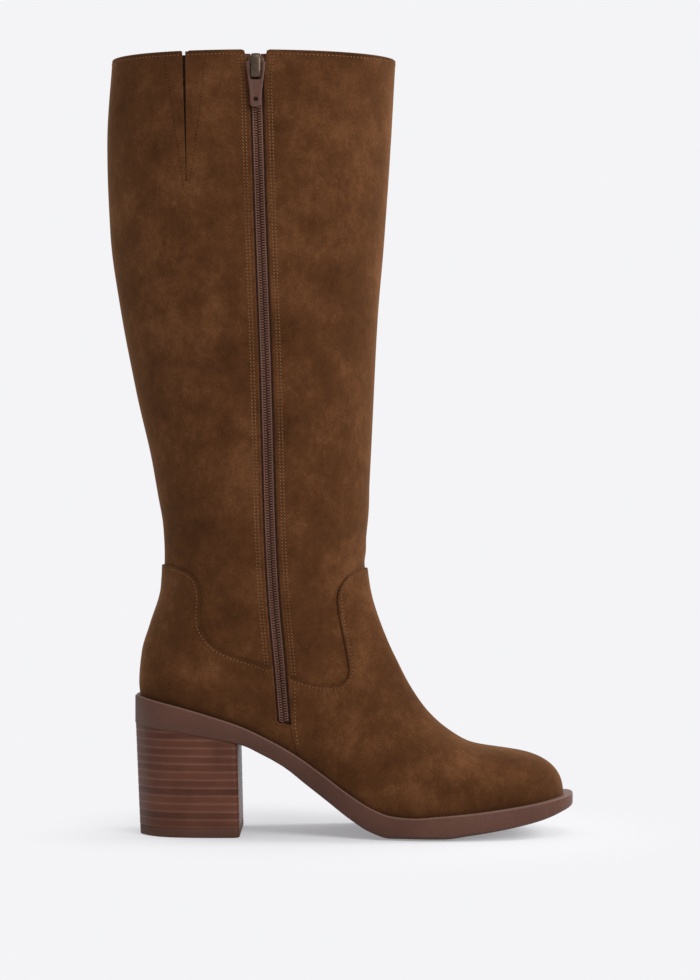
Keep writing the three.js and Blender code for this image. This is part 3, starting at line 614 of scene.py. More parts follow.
# A grid drawn onto rows of points.
def sheet(name, rows):
    across = len(rows[0])
    down = len(rows)
    bpy.ops.object.select_all(action="DESELECT")
    bpy.ops.mesh.primitive_grid_add(x_subdivisions=across - 1, y_subdivisions=down - 1, size=2)
    piece = bpy.context.object
    piece.name = name
    for vertex in piece.data.vertices:
        i = round((vertex.co.x + 1) / 2 * (across - 1))
        j = round((vertex.co.y + 1) / 2 * (down - 1))
        vertex.co = rows[j][i]
    return piece


# A closed tube drawn onto rings of points.
def tube_through(name, rings):
    piece = sheet(name, [ring + [ring[0]] for ring in rings])
    weld(piece)
    return piece


# Fills the open ends of a tube.
def close_ends(piece):
    select_only(piece)
    bpy.ops.object.mode_set(mode="EDIT")
    bpy.ops.mesh.select_all(action="DESELECT")
    bpy.ops.mesh.select_non_manifold()
    bpy.ops.mesh.fill_holes(sides=0)
    face_out()


def join(name, parts):
    select_only(parts[0])
    for part in parts[1:]:
        part.select_set(True)
    if len(parts) > 1:
        bpy.ops.object.join()
    parts[0].name = name
    return parts[0]


# A solid on an outline of (x, z) points seen from the side.
def side_block(name, points, y_low, y_high):
    bpy.ops.object.select_all(action="DESELECT")
    bpy.ops.mesh.primitive_circle_add(vertices=len(points), fill_type="NGON")
    block = bpy.context.object
    block.name = name
    for vertex, (x, z) in zip(block.data.vertices, points):
        vertex.co = (x, y_low, z)
    bpy.ops.object.mode_set(mode="EDIT")
    bpy.ops.mesh.select_all(action="SELECT")
    bpy.ops.mesh.extrude_region_move(TRANSFORM_OT_translate={"value": (0, y_high - y_low, 0)})
    face_out()
    return block


def cut(piece, tool, operation="DIFFERENCE"):
    finish_with(piece, "BOOLEAN", operation=operation, object=tool, solver="EXACT")
    bpy.data.objects.remove(tool)


SUNK = 1 * MM
CUT_OVER = 2 * MM
SIDE = BALL_WIDTH
FAR_FRONT = SOLE_TIP + SIDE
FAR_BACK = SOLE_BACK - SIDE


# A line of heights over the whole sole, moved up by rise and drawn on past both ends.
def sole_curve(height, rise):
    places = [at_along(i / SOLE_CURVE_STEPS) for i in range(SOLE_CURVE_STEPS + 1)]
    line = [(x, height(x) + rise) for x in places]
    return [(FAR_BACK, line[0][1])] + line + [(FAR_FRONT, line[-1][1])]


# Everything below a level just under the outsole's top, so that the leather sinks into it.
def below_sole():
    points = [(FAR_FRONT, -SIDE), (FAR_BACK, -SIDE)] + sole_curve(sole_top, -SUNK)
    return side_block("below the sole", points, -SIDE, SIDE)


def opening_half(z):
    up = max(0, (z - (BOOT_HEIGHT - ZIP_FLARE_DEPTH)) / ZIP_FLARE_DEPTH)
    return (ZIP_OPENING + ZIP_FLARE * up * up) / 2


# Heights down the zip, from its end to a top level.
def zip_heights(top, steps, bottom=ZIP_END):
    return [bottom + (top - bottom) * i / steps for i in range(steps + 1)]


def zip_opening():
    heights = zip_heights(BOOT_HEIGHT + CUT_OVER, ZIP_STEPS)
    left = [(zip_x(z) - opening_half(z), z) for z in reversed(heights)]
    right = [(zip_x(z) + opening_half(z), z) for z in heights]
    return side_block("zip opening", right + left, -SIDE, 0)


SLIT_TOP_X = at_along(SLIT_TOP)
SLIT_END_X = at_along(SLIT_END)
SLIT_END_Z = BOOT_HEIGHT - SLIT_LENGTH


def slit_opening():
    top = BOOT_HEIGHT + CUT_OVER
    points = [
        (SLIT_TOP_X - SLIT_WIDTH / 2, top),
        (SLIT_END_X - SLIT_END_WIDTH / 2, SLIT_END_Z),
        (SLIT_END_X + SLIT_END_WIDTH / 2, SLIT_END_Z),
        (SLIT_TOP_X + SLIT_WIDTH / 2, top),
    ]
    return side_block("slit opening", points, -SIDE, 0)


# A seam's table as a smooth line of (x, z) points.
def seam_line(seam, steps):
    points = [Vector((at_along(a), h * ANKLE_HEIGHT)) for a, h in seam]
    line = []
    spans = len(points) - 1
    for step in range(steps + 1):
        at = spans * step / steps
        i = min(int(at), spans - 1)
        t = at - i
        p0 = points[max(0, i - 1)]
        p1 = points[i]
        p2 = points[i + 1]
        p3 = points[min(spans, i + 2)]
        v1 = (p2 - p0) / 2
        v2 = (p3 - p1) / 2
        line.append(
            p1 * (2 * t**3 - 3 * t**2 + 1) + v1 * (t**3 - 2 * t**2 + t)
            + p2 * (-2 * t**3 + 3 * t**2) + v2 * (t**3 - t**2)
        )
    return line


# Outline of a panel in front of the side seam (toward 1) or behind it (-1).
def panel_region(seam, toward):
    side = [(p.x + toward * GAP / 2, p.y) for p in seam_line(SIDE_SEAM, SEAM_STEPS)]
    edge = [tuple(p) for p in seam_line(seam, EDGE_STEPS)]
    if toward > 0:
        line = [(FAR_FRONT, side[0][1] + ANKLE_HEIGHT)] + edge + side[1:]
    else:
        line = [(FAR_BACK, edge[0][1])] + edge[:-1] + side
    return line + [(side[-1][0], -SIDE), (line[0][0], -SIDE)]


# Materials

# A finish made of nodes on object coordinates.
class Finish:
    def __init__(self, name, roughness, specular):
        self.material = bpy.data.materials.new(name)
        self.material.use_nodes = True
        self.nodes = self.material.node_tree.nodes
        self.links = self.material.node_tree.links
        self.bsdf = self.nodes["Principled BSDF"]
        self.coords = self.nodes.new("ShaderNodeTexCoord").outputs["Object"]
        self.feed(self.bsdf, {"Roughness": roughness, "Specular IOR Level": specular})

    # Gives each named input of a node a value, or the output that feeds it.
    def feed(self, node, inputs):
        for name, value in inputs.items():
            if isinstance(value, bpy.types.NodeSocket):
                self.links.new(value, node.inputs[name])
            else:
                node.inputs[name].default_value = value

    # Settings come first, because they decide which inputs a node has.
    def add(self, kind, inputs, **settings):
        node = self.nodes.new("ShaderNode" + kind)
        for name, value in settings.items():
            setattr(node, name, value)
        self.feed(node, inputs)
        return node

    def noise(self, scale, detail=2, roughness=0.5, stretch=None):
        coords = self.coords
        if stretch:
            coords = self.add("Mapping", {"Vector": coords, "Scale": stretch}).outputs["Vector"]
        inputs = {"Vector": coords, "Scale": scale, "Detail": detail, "Roughness": roughness}
        return self.add("TexNoise", inputs).outputs["Fac"]

    # Even bands across one axis.
    def waves(self, axis, pitch, profile="SIN"):
        inputs = {"Vector": self.coords, "Scale": 2 * math.pi / 20 / pitch}
        node = self.add("TexWave", inputs, wave_type="BANDS", bands_direction=axis, wave_profile=profile)
        return node.outputs["Fac"]

    def attribute(self, name):
        return self.add("Attribute", {}, attribute_name=name).outputs["Fac"]

    def math(self, operation, *values):
        return self.add("Math", dict(enumerate(values)), operation=operation).outputs[0]

    # Sum of (value, weight) pairs.
    def blend(self, *parts):
        total = 0
        for value, weight in parts:
            total = self.math("MULTIPLY_ADD", value, weight, total)
        return total

    def ramp(self, value, *stops):
        node = self.add("ValToRGB", {"Fac": value})
        elements = node.color_ramp.elements
        while len(elements) < len(stops):
            elements.new(0.5)
        for element, (position, colour) in zip(elements, stops):
            element.position = position
            element.color = (*colour, 1)
        return node.outputs["Color"]

    # Mixes a colour towards a tone by a factor.
    def mix(self, factor, colour, tone):
        inputs = {"Factor": factor, "A": colour, "B": (*tone, 1)}
        return self.add("Mix", inputs, data_type="RGBA").outputs["Result"]

    def bump(self, height, strength, distance, below=None):
        inputs = {"Strength": strength, "Distance": distance, "Height": height}
        if below:
            inputs["Normal"] = below
        return self.add("Bump", inputs).outputs["Normal"]

    def done(self, colour, normal=None):
        self.feed(self.bsdf, {"Base Color": colour})
        if normal:
            self.feed(self.bsdf, {"Normal": normal})
        return self.material


# Brushed suede: clouds of three browns, the piece's own lighter and darker patches, and its painted shade
# and grime.
def suede(name, *browns):
    finish = Finish(name, 0.95, 0.05)
    patches = finish.noise(20, 3, 0.55, (1, 1, 0.85))
    clouds = finish.noise(62, 3, 0.55)
    brushed = finish.noise(250, 3, 0.6, (1, 1, 0.75))
    nap = finish.noise(850, 4, 0.7)
    worn = finish.attribute("worn")
    tone = finish.blend((patches, 0.32), (clouds, 0.26), (brushed, 0.18), (nap, 0.24), (worn, 0.075))
    colour = finish.ramp(tone, *zip((0.37, 0.5, 0.64), browns))
    sheen = {"Sheen Weight": 0.24, "Sheen Roughness": 0.45, "Sheen Tint": (0.85, 0.45, 0.22, 1)}
    finish.feed(finish.bsdf, sheen)
    soft = finish.bump(clouds, 0.3, 0.6 * MM)
    short = finish.bump(brushed, 0.35, 0.3 * MM, soft)
    # Painted shade: mixed towards a near-black brown where the piece's shade-and-grime amount says, for the
    # contact shadow above the outsole and the dark lines of the folds, with real grime.
    shaded_and_soiled = finish.mix(finish.attribute("grime"), colour, (0.024, 0.0085, 0.003))
    return finish.done(shaded_and_soiled, finish.bump(nap, 0.45, 0.16 * MM, short))


def write_attribute(piece, name, value_at):
    layer = piece.data.attributes.new(name, "FLOAT", "POINT")
    for vertex, place in zip(piece.data.vertices, layer.data):
        place.value = value_at(vertex.co)


# Gives a piece one amount of painted shade and grime all over.
def darken(piece, amount):
    write_attribute(piece, "grime", lambda p: amount)


# Painted contact shadow with grime: the leather darkens towards the outsole's top.
def grime_at(p):
    return CONTACT_SHADE_AND_GRIME * math.exp(-max(0, (p.z - sole_top(p.x)) / CONTACT_SHADE_HEIGHT))


# Writes a leather piece's patches, and the painted contact shadow and grime just above the outsole.
def soil_and_shade(piece):
    write_attribute(piece, "grime", grime_at)
    write_attribute(piece, "worn", lambda p: spots(PATCH_SPOTS, p))


# Even grain between two tones, mixed towards another tone where an attribute of the piece says.
def plain_finish(name, dark, light, roughness, scale, bump, specular, **towards):
    finish = Finish(name, roughness, specular)
    grain = finish.noise(scale, 3, 0.6)
    tone = finish.blend((finish.noise(30, 3), 0.6), (grain, 0.4))
    colour = finish.ramp(tone, (0.35, dark), (0.65, light))
    for attribute, other in towards.items():
        colour = finish.mix(finish.attribute(attribute), colour, other)
    return finish.done(colour, finish.bump(grain, bump, 0.1 * MM))


def woven(name, dark, light, pitch):
    finish = Finish(name, 0.85, 0.25)
    tone = finish.blend((finish.waves("Z", pitch), 0.5), (finish.noise(1200), 0.5))
    return finish.done(finish.ramp(tone, (0.25, dark), (0.75, light)), finish.bump(tone, 0.4, 0.15 * MM))


# Rubber with shallow cross ribs.
def tread(name, dark, light):
    finish = Finish(name, 0.7, 0.2)
    grain = finish.noise(700, 3)
    fine = finish.bump(grain, 0.2, 0.1 * MM)
    ribs = finish.bump(finish.waves("X", 3.2 * MM, "TRI"), 0.6, 0.7 * MM, fine)
    return finish.done(finish.ramp(grain, (0.35, dark), (0.65, light)), ribs)


def bronze(name, colour):
    finish = Finish(name, 0.36, 0.5)
    finish.feed(finish.bsdf, {"Metallic": 0.8})
    dark = tuple(c * 0.75 for c in colour)
    return finish.done(finish.ramp(finish.noise(900), (0.3, dark), (0.7, colour)))


# Stacked leather: a tint for each layer, a fine horizontal grain and lighter glue lines.
def stacked(name):
    finish = Finish(name, 0.42, 0.2)
    split = finish.add("SeparateXYZ", {0: finish.coords})
    level = finish.math("MULTIPLY_ADD", split.outputs["Z"], 1 / LAYER, -TIP_THICKNESS / LAYER)
    tint = finish.add("TexWhiteNoise", {}, noise_dimensions="1D")
    finish.feed(tint, {"W": finish.math("FLOOR", level)})
    grain = finish.noise(260, 4, 0.6, (0.12, 0.12, 1))
    cloud = finish.noise(55, 3, 0.5, (1, 1, 0.6))
    tone = finish.blend((tint.outputs["Value"], 0.22), (grain, 0.4), (cloud, 0.38))
    base = finish.ramp(tone, (0.3, (0.04, 0.0095, 0.0035)), (0.7, (0.105, 0.033, 0.0165)))
    black = (0, 0, 0)
    white = (1, 1, 1)
    lines = finish.ramp(finish.math("FRACT", level), (0, white), (0.3, black), (0.86, black), (1, white))
    glued = finish.mix(finish.math("MULTIPLY", lines, cloud), base, (0.175, 0.075, 0.048))
    return finish.done(glued, finish.bump(grain, 0.2, 0.1 * MM))


SUEDE = suede("brown suede", (0.04, 0.0147, 0.0049), (0.069, 0.0257, 0.009), (0.123, 0.0495, 0.0195))
# The rubber mixes towards a dark tone for painted shade under the arch and low on its side, and towards a
# light tone for a painted highlight along its top edge.
RUBBER = plain_finish("brown rubber", (0.072, 0.0285, 0.0175), (0.106, 0.045, 0.0295), 0.5, 900, 0.12, 0.2,
                      grime=(0.03, 0.011, 0.006), worn=(0.26, 0.165, 0.14))
# Name, dark and light tone, roughness, scale of the grain, bump and gloss
LINING, TIP, DARK_THREAD_AND_HOLE_SHADE, THREAD, HOLE_SHADE, COIL, ENAMEL = (plain_finish(*row) for row in (
    ("smooth lining", (0.2, 0.115, 0.06), (0.26, 0.155, 0.085), 0.75, 500, 0.15, 0.3),
    ("dark rubber tip", (0.056, 0.0205, 0.012), (0.084, 0.034, 0.021), 0.55, 900, 0.15, 0.2),
    # Dark thread whose colour also paints the shade of the slit's needle holes, seen as dark dots.
    ("dark thread", (0.06, 0.024, 0.009), (0.1, 0.042, 0.017), 0.75, 2500, 0.3, 0.1),
    ("waxed thread", (0.13, 0.058, 0.025), (0.27, 0.135, 0.063), 0.75, 2500, 0.3, 0.1),
    # Needle holes: dark dots of painted shade for the hollows of the holes.
    ("needle holes", (0.012, 0.0045, 0.002), (0.02, 0.0075, 0.003), 0.9, 900, 0.1, 0.05),
    ("zip coil", (0.085, 0.036, 0.0225), (0.135, 0.063, 0.042), 0.5, 1500, 0.1, 0.2),
    ("brown enamel", (0.072, 0.029, 0.0185), (0.095, 0.041, 0.0275), 0.4, 700, 0.05, 0.3),
))
TREAD = tread("rubber tread", (0.055, 0.0225, 0.0145), (0.08, 0.035, 0.024))
STACK = stacked("stacked leather")
TAPE = woven("zip tape", (0.062, 0.0225, 0.013), (0.115, 0.047, 0.03), 0.9 * MM)
BRONZE = bronze("dark bronze", (0.1, 0.066, 0.044))
ELASTIC = woven("ribbed elastic", (0.022, 0.0085, 0.004), (0.04, 0.0165, 0.008), 0.8 * MM)


def paint(piece, *materials):
    piece.data.materials.clear()
    for material in materials:
        piece.data.materials.append(material)


def fit(piece, body, slot, *nodes):
    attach(piece, body)
    if nodes:
        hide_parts(*nodes)


def dress(piece, material, body, slot, *nodes):
    paint(piece, material)
    fit(piece, body, slot, *nodes)


# The skin of the base form and of the overlays, for what is sewn or fixed on them.
class Skin:
    def __init__(self, reach):
        rings = relieved(form_rings(reach))
        points = [p for ring in rings for p in ring]
        count = RING_POINTS
        faces = []
        for k in range(len(rings) - 1):
            for i in range(count):
                j = (i + 1) % count
                faces.append((k * count + i, k * count + j, (k + 1) * count + j, (k + 1) * count + i))
        self.rings = rings
        self.tree = BVHTree.FromPolygons(points, faces)

    # The point of one side (-1 inner, 1 outer) at x and z, and the outward direction there.
    def at(self, x, z, side):
        start = Vector((x, side * 2 * SIDE, z))
        place, direction, _, _ = self.tree.ray_cast(start, Vector((0, -side, 0)))
        if place is None:
            return None
        if direction.y * side < 0:
            direction = -direction
        return place, direction


LEG_SKIN = Skin(0)
PANEL_SKIN = Skin(REACH)


# Leathers

# A leather on a skin with its second finish inside. A panel keeps only its region, and the upper
# has no region but a slit.
def make_leather(name, skin, thickness, inside, node, region=None):
    piece = tube_through(name, skin.rings)
    finish_with(piece, "SOLIDIFY", thickness=thickness, offset=-1, material_offset=1)
    paint(piece, SUEDE, inside)
    if region:
        cut(piece, side_block("region", region, -SIDE, SIDE), "INTERSECT")
    cut(piece, below_sole())
    cut(piece, zip_opening())
    if not region:
        cut(piece, slit_opening())
    smooth(piece)
    soil_and_shade(piece)
    fit(piece, "boot", "suede", node)


# A rounded cord along a line of places, thinner at both ends.
def folded_edge(name, places, radius, sides=10):
    rings = []
    last = len(places) - 1
    for i, point in enumerate(places):
        ahead = (places[min(last, i + 1)] - places[max(0, i - 1)]).normalized()
        up = Vector((0, 1, 0)) if abs(ahead.y) < 0.9 else Vector((0, 0, 1))
        across = ahead.cross(up).normalized()
        up = across.cross(ahead)
        end = 1 if 0 < i < last else 0.4
        ring = []
        for j in range(sides):
            angle = 2 * math.pi * j / sides
            ring.append(point + radius * end * (math.cos(angle) * across + math.sin(angle) * up))
        rings.append(ring)
    piece = tube_through(name, rings)
    close_ends(piece)
    smooth(piece, 80)
    return piece


# Many copies of a small mesh in one object. A place is a centre and three columns.
def many(name, base, places):
    base_points = [v.co.copy() for v in base.data.vertices]
    base_faces = [list(f.vertices) for f in base.data.polygons]
    points = []
    faces = []
    for centre, x_axis, y_axis, z_axis in places:
        start = len(points)
        points += [centre + x_axis * p.x + y_axis * p.y + z_axis * p.z for p in base_points]
        faces += [[start + i for i in face] for face in base_faces]
    mesh = bpy.data.meshes.new(name)
    mesh.from_pydata(points, [], faces)
    bpy.data.objects.remove(base)
    piece = bpy.data.objects.new(name, mesh)
    bpy.context.scene.collection.objects.link(piece)
    for face in mesh.polygons:
        face.use_smooth = True
    return piece


# One stitch: a short thread bulging out of the leather and sinking at both ends.
def stitch_shape():
    bpy.ops.object.select_all(action="DESELECT")
    bpy.ops.mesh.primitive_uv_sphere_add(segments=8, ring_count=6, radius=1)
    shape = bpy.context.object
    for vertex in shape.data.vertices:
        vertex.co = (vertex.co.z, vertex.co.x, vertex.co.y - 0.35 * vertex.co.z**2)
    return shape


# Steps of equal length along a line of (point, outward) pairs.
def paced(line, pitch):
    result = []
    walked = 0
    wanted = pitch / 2
    for (a, out_a), (b, out_b) in zip(line, line[1:]):
        step = (b - a).length
        while step > 0 and wanted <= walked + step:
            t = (wanted - walked) / step
            result.append((a.lerp(b, t), (b - a).normalized(), out_a.lerp(out_b, t).normalized()))
            wanted += pitch
        walked += step
    return result


# Needle hole: a flat dark dot just above the leather, painted shade for the hole's hollow.
def prick_shape():
    bpy.ops.object.select_all(action="DESELECT")
    bpy.ops.mesh.primitive_uv_sphere_add(segments=6, ring_count=4, radius=1)
    return bpy.context.object


# Rows of stitches along lines of (point, outward) pairs, each slanted across its line, with a needle hole
# of painted shade, a dark dot, between each two.
def stitches(name, lines, pitch=STITCH_PITCH, length=STITCH_LENGTH, width=STITCH_WIDTH, slant=0.0,
             thread=THREAD, prick=0.3):
    places = []
    pricks = []
    for line in lines:
        for point, ahead, out in paced(line, pitch):
            turn = slant + random.uniform(-STITCH_TURN, STITCH_TURN)
            side = out.cross(ahead).normalized()
            forward = (ahead + side * turn).normalized()
            side = out.cross(forward).normalized()
            seat_point = point + out * random.uniform(*STITCH_RISE) * MM
            places.append((seat_point, forward * length / 2, side * width / 2, out * width / 2))
            dot = point + ahead * pitch / 2
            pricks.append((dot, ahead * prick * MM, side * prick * 0.8 * MM, out * 0.06 * MM))
    piece = many(name, stitch_shape(), places)
    dress(piece, thread, "boot", "suede")
    piece = many(name + "_holes", prick_shape(), pricks)
    dress(piece, HOLE_SHADE, "boot", "suede")


# A line of (x, z) points on one side of a skin, moved off its edge across the line by shift.
def on_skin(skin, points, side, shift=0.0, depth=0.0):
    line = []
    for i, (x, z) in enumerate(points):
        x0, z0 = points[max(0, i - 1)]
        x1, z1 = points[min(len(points) - 1, i + 1)]
        length = math.hypot(x1 - x0, z1 - z0)
        found = skin.at(x + shift * (z1 - z0) / length, z - shift * (x1 - x0) / length, side)
        if found:
            line.append((found[0] - depth * found[1], found[1]))
    return line


def edge_points(seam):
    return [(p.x, p.y) for p in seam_line(seam, SEWN_STEPS)]


# The seam of a panel as one line: the inner side up to the zip, across the front or back, and the
# outer side.
def whole_edge(seam, shift, depth, toward, clear):
    kept = [p for p in edge_points(seam) if (p[0] - zip_x(p[1])) * toward > ZIP_OPENING / 2 + clear]
    inner = on_skin(PANEL_SKIN, kept, -1, shift, depth)
    outer = on_skin(PANEL_SKIN, edge_points(seam), 1, shift, depth)
    inner.reverse()
    return inner + bridge_round(inner[-1], outer[0], toward, depth) + outer


# Fills the stretch where the seam runs over the front or back of the leg, past the side views.
def bridge_round(a, b, toward, depth):
    rows = []
    for i in range(1, BRIDGE_STEPS):
        t = i / BRIDGE_STEPS
        straight = a[0].lerp(b[0], t)
        start = straight + Vector((toward * 2 * SIDE, 0, 0))
        place, direction, _, _ = PANEL_SKIN.tree.ray_cast(start, Vector((-toward, 0, 0)))
        if place is None:
            continue
        if direction.x * toward < 0:
            direction = -direction
        rows.append((place - direction * depth, direction))
    return rows


# The same line with steps between its points.
def dense(corners):
    points = [corners[0]]
    for (x0, z0), (x1, z1) in zip(corners, corners[1:]):
        for i in range(1, DENSE_STEPS + 1):
            points.append((x0 + (x1 - x0) * i / DENSE_STEPS, z0 + (z1 - z0) * i / DENSE_STEPS))
    return points


def in_metres(rows):
    return [(x * MM, z * MM) for x, z in rows]


SEW_IN = 1.6 * MM
FOLD = 0.54 * MM

# Rows of stitches on the inner side as (x, z) in millimetres: beside the zip's end and the slit.
BESIDE_ZIP_END = ((58.3, 84), (58.4, 72), (58.7, 62), (60, 52))
BESIDE_SLIT = (
    ((-13.6, 432), (-8.6, 400), (-4.6, 374), (-2.4, 359.5)),
    ((8.9, 430), (6.6, 405), (3.6, 380), (0.9, 362)),
)


def make_leathers():
    make_leather("upper_leather", LEG_SKIN, WALL, LINING, "upper")
    for name, seam, toward in (("vamp", VAMP_EDGE, 1), ("counter", COUNTER_EDGE, -1)):
        region = panel_region(seam, toward)
        make_leather(name + "_leather", PANEL_SKIN, OVERLAY, SUEDE, name, region)


def make_panel_edges():
    for name, seam, toward, side in (
        ("vamp_fold", VAMP_EDGE, 1, -1),
        ("counter_fold", COUNTER_EDGE, -1, 1),
    ):
        line = whole_edge(seam, side * 0.1 * MM, FOLD * 0.8, toward, 0.2 * MM)
        piece = folded_edge(name, [p for p, _ in line], FOLD)
        # Painted shadow line: the whole fold is darkened, for the shade beside the raised edge as well as a
        # darker cut edge.
        darken(piece, 0.5)
        dress(piece, SUEDE, "boot", "suede")
        sewn = whole_edge(seam, side * SEW_IN, 0, toward, 1.5 * MM)
        stitches(name.replace("fold", "stitches"), [sewn], 2.1 * MM, 1.3 * MM, 0.36 * MM)
    side_seam = [(p.x + 2.4 * MM, p.y) for p in seam_line(SIDE_SEAM, 30) if p.y > sole_top(p.x) + 2 * MM]
    beside_zip = on_skin(PANEL_SKIN, dense(in_metres(BESIDE_ZIP_END)), -1)
    lines = [beside_zip, on_skin(PANEL_SKIN, side_seam, 1)]
    stitches("side_stitches", lines)


# The fold round the zip's lower end: share of the half opening, rise in millimetres.
ZIP_END_ROUND = (
    (-1.1, 2.3),
    (-1, 1.5),
    (-0.82, 1),
    (-0.5, 0.65),
    (0, 0.3),
    (0.5, -0.05),
    (0.85, -0.2),
    (1.02, 0.2),
    (1.1, 0.9),
)


# Height of the panels' edges on the inner side, on both sides of the zip.
edge_height = through([(at_along(a), h * ANKLE_HEIGHT) for a, h in COUNTER_EDGE[-3:] + VAMP_EDGE[-2:-5:-1]])

# Lines beside the zip: the fold outside the opening, and the rows of stitches off the zip's middle
ZIP_FOLD_OUT = 0.55 * MM
ZIP_FOLD_TOP = BOOT_HEIGHT - 0.5 * MM
ZIP_FOLD_STEPS = 160
ZIP_SEWN = (-8.2 * MM, -6.4 * MM, 6.4 * MM, 8.2 * MM)
ZIP_SEWN_TOP = BOOT_HEIGHT - 2.5 * MM
ZIP_SEWN_END = 88 * MM
ZIP_SEWN_STEPS = 170


def make_zip_edges():
    points = []
    for z in reversed(zip_heights(ZIP_FOLD_TOP, ZIP_FOLD_STEPS, ZIP_END + 3 * MM)):
        points.append((zip_x(z) - opening_half(z) - ZIP_FOLD_OUT, z))
    half = ZIP_OPENING / 2
    for across, rise in ZIP_END_ROUND:
        points.append((zip_x(ZIP_END) + across * half, ZIP_END + rise * MM))
    for z in zip_heights(ZIP_FOLD_TOP, ZIP_FOLD_STEPS, ZIP_END + 2 * MM):
        points.append((zip_x(z) + opening_half(z) + ZIP_FOLD_OUT, z))
    line = []
    for x, z in points:
        below = min(1, max(0, (edge_height(x) - z) / (2 * MM) + 0.5))
        deep = 0.75 * MM - below * REACH
        found = LEG_SKIN.at(x, z, -1)
        line.append(found[0] - found[1] * deep)
    piece = folded_edge("zip_fold", line, 0.95 * MM)
    dress(piece, SUEDE, "boot", "suede")
    lines = []
    for shift in ZIP_SEWN:
        points = []
        for z in zip_heights(ZIP_SEWN_TOP, ZIP_SEWN_STEPS, ZIP_SEWN_END):
            points.append((zip_x(z) + math.copysign(opening_half(z) - ZIP_OPENING / 2, shift) + shift, z))
        above = [p for p in points if p[1] > edge_height(p[0]) + 0.8 * MM]
        lines.append(on_skin(LEG_SKIN, above, -1))
    stitches("zip_stitches", lines, 1.9 * MM, 1.7 * MM, 0.38 * MM, 0.5)


# The collar's edge as separate runs of points between the zip and the slit.
def collar_runs(ring):
    half_gap = opening_half(BOOT_HEIGHT)
    zip_centre = zip_x(BOOT_HEIGHT)
    fine = evenly(ring + [ring[0]], COLLAR_STEPS)[:-1]
    blocked = []
    for p in fine:
        near_zip = p.y < 0 and abs(p.x - zip_centre) < half_gap + 0.25 * MM
        near_slit = p.y < 0 and abs(p.x - SLIT_TOP_X) < SLIT_WIDTH / 2 + 0.15 * MM
        blocked.append(near_zip or near_slit)
    start = blocked.index(True)
    runs = []
    run = []
    for i in range(len(fine) + 1):
        k = (start + i) % len(fine)
        if not blocked[k] and i < len(fine):
            run.append(fine[k])
            continue
        if len(run) > 3:
            runs.append(run)
        run = []
    return runs


# The collar's folds: in from the edge, down, radius, and the level of the stitches below the edge
COLLAR_IN = 1 * MM
COLLAR_DOWN = Vector((0, 0, -0.45 * MM))
COLLAR_RADIUS = 1.04 * MM
COLLAR_SEWN = Vector((0, 0, -1.9 * MM))


def make_collar():
    ring = LEG_SKIN.rings[0]
    centre = sum(ring, Vector()) / len(ring)
    parts = []
    lines = []
    for run in collar_runs(ring):
        seated = []
        sewn = []
        for p in run:
            out = (p - centre).normalized()
            seated.append(p - out * COLLAR_IN + COLLAR_DOWN)
            low, direction, _, _ = LEG_SKIN.tree.find_nearest(p + COLLAR_SEWN)
            sewn.append((low, direction if direction.dot(out) > 0 else -direction))
        parts.append(folded_edge("collar_part", seated, COLLAR_RADIUS))
        lines.append(sewn)
    piece = join("collar_fold", parts)
    # Painted shade along the collar's edge, with a darker folded edge: the whole fold is darkened.
    darken(piece, 0.35)
    dress(piece, SUEDE, "boot", "suede")
    stitches("collar_stitches", lines)


def make_slit_edges():
    parts = []
    for side in (-1, 1):
        points = []
        for i in range(SLIT_STEPS + 1):
            t = i / SLIT_STEPS
            half = (SLIT_END_WIDTH + (SLIT_WIDTH - SLIT_END_WIDTH) * t) / 2
            half += (0.46 - 0.34 * (1 - t) + 0.2 * t) * MM
            x = SLIT_END_X + (SLIT_TOP_X - SLIT_END_X) * t + side * half
            points.append((x, SLIT_END_Z + (SLIT_LENGTH - 0.6 * MM) * t))
        line = on_skin(LEG_SKIN, points, -1, 0, 0.5 * MM)
        parts.append(folded_edge("slit_part", [p for p, _ in line], 0.56 * MM))
    piece = join("slit_folds", parts)
    dress(piece, SUEDE, "boot", "suede")
    lines = [on_skin(LEG_SKIN, dense(in_metres(corners)), -1) for corners in BESIDE_SLIT]
    # The slit's stitches in dark thread with larger dark dots: painted shade of the needle holes.
    stitches("slit_stitches", lines, 1.9 * MM, 0.8 * MM, 0.3 * MM, 0, DARK_THREAD_AND_HOLE_SHADE, 0.36)


# A band behind the wall, following the skin at a depth: left and right edges of each level.
def band(name, levels, depth, thickness, across=14):
    front = []
    back = []
    for left, right, z in levels:
        front_row = []
        back_row = []
        for i in range(across + 1):
            x = left + (right - left) * i / across
            place, out = LEG_SKIN.at(x, z, -1)
            front_row.append(place - out * depth)
            back_row.append(place - out * (depth + thickness))
        front.append(front_row)
        back.append(back_row)
    rows = [f + list(reversed(b)) for f, b in zip(front, back)]
    piece = tube_through(name, rows)
    close_ends(piece)
    smooth(piece, 50)
    return piece


# Slider and pull, in the slider's own frame: +Z up the zip, -Y away from the leg
SLIDER_Z = BOOT_HEIGHT - 9.2 * MM
SLIDER_LENGTH = 12.6 * MM
SLIDER_WIDTH = 9.8 * MM
PLATE = 1.2 * MM
PLATE_TOP = GAP + PLATE
PLATE_BEHIND = WALL + 0.9 * MM + 3 * GAP
NECK_WIDTH = 2.6 * MM
NECK_TOP = SLIDER_LENGTH / 2 - 0.6 * MM
NECK_LENGTH = 1.8 * MM
CROWN_LENGTH = 14 * MM
CROWN_WIDTH = 5.2 * MM
CROWN_OPENING = 3 * MM
CROWN_WALL = 1 * MM
CROWN_STEPS = 40
CROWN_SIDES = 28
BAR_RADIUS = 0.6 * MM
BAR_RISE = 1.5 * MM
HINGE_RISE = PLATE_TOP + CROWN_OPENING / 2
PULL_SHOULDER = 1.1 * MM
PULL_LENGTH = 25.6 * MM
PULL_WINDOW = 9.3 * MM
PULL_TOP_WIDTH = 10.8 * MM
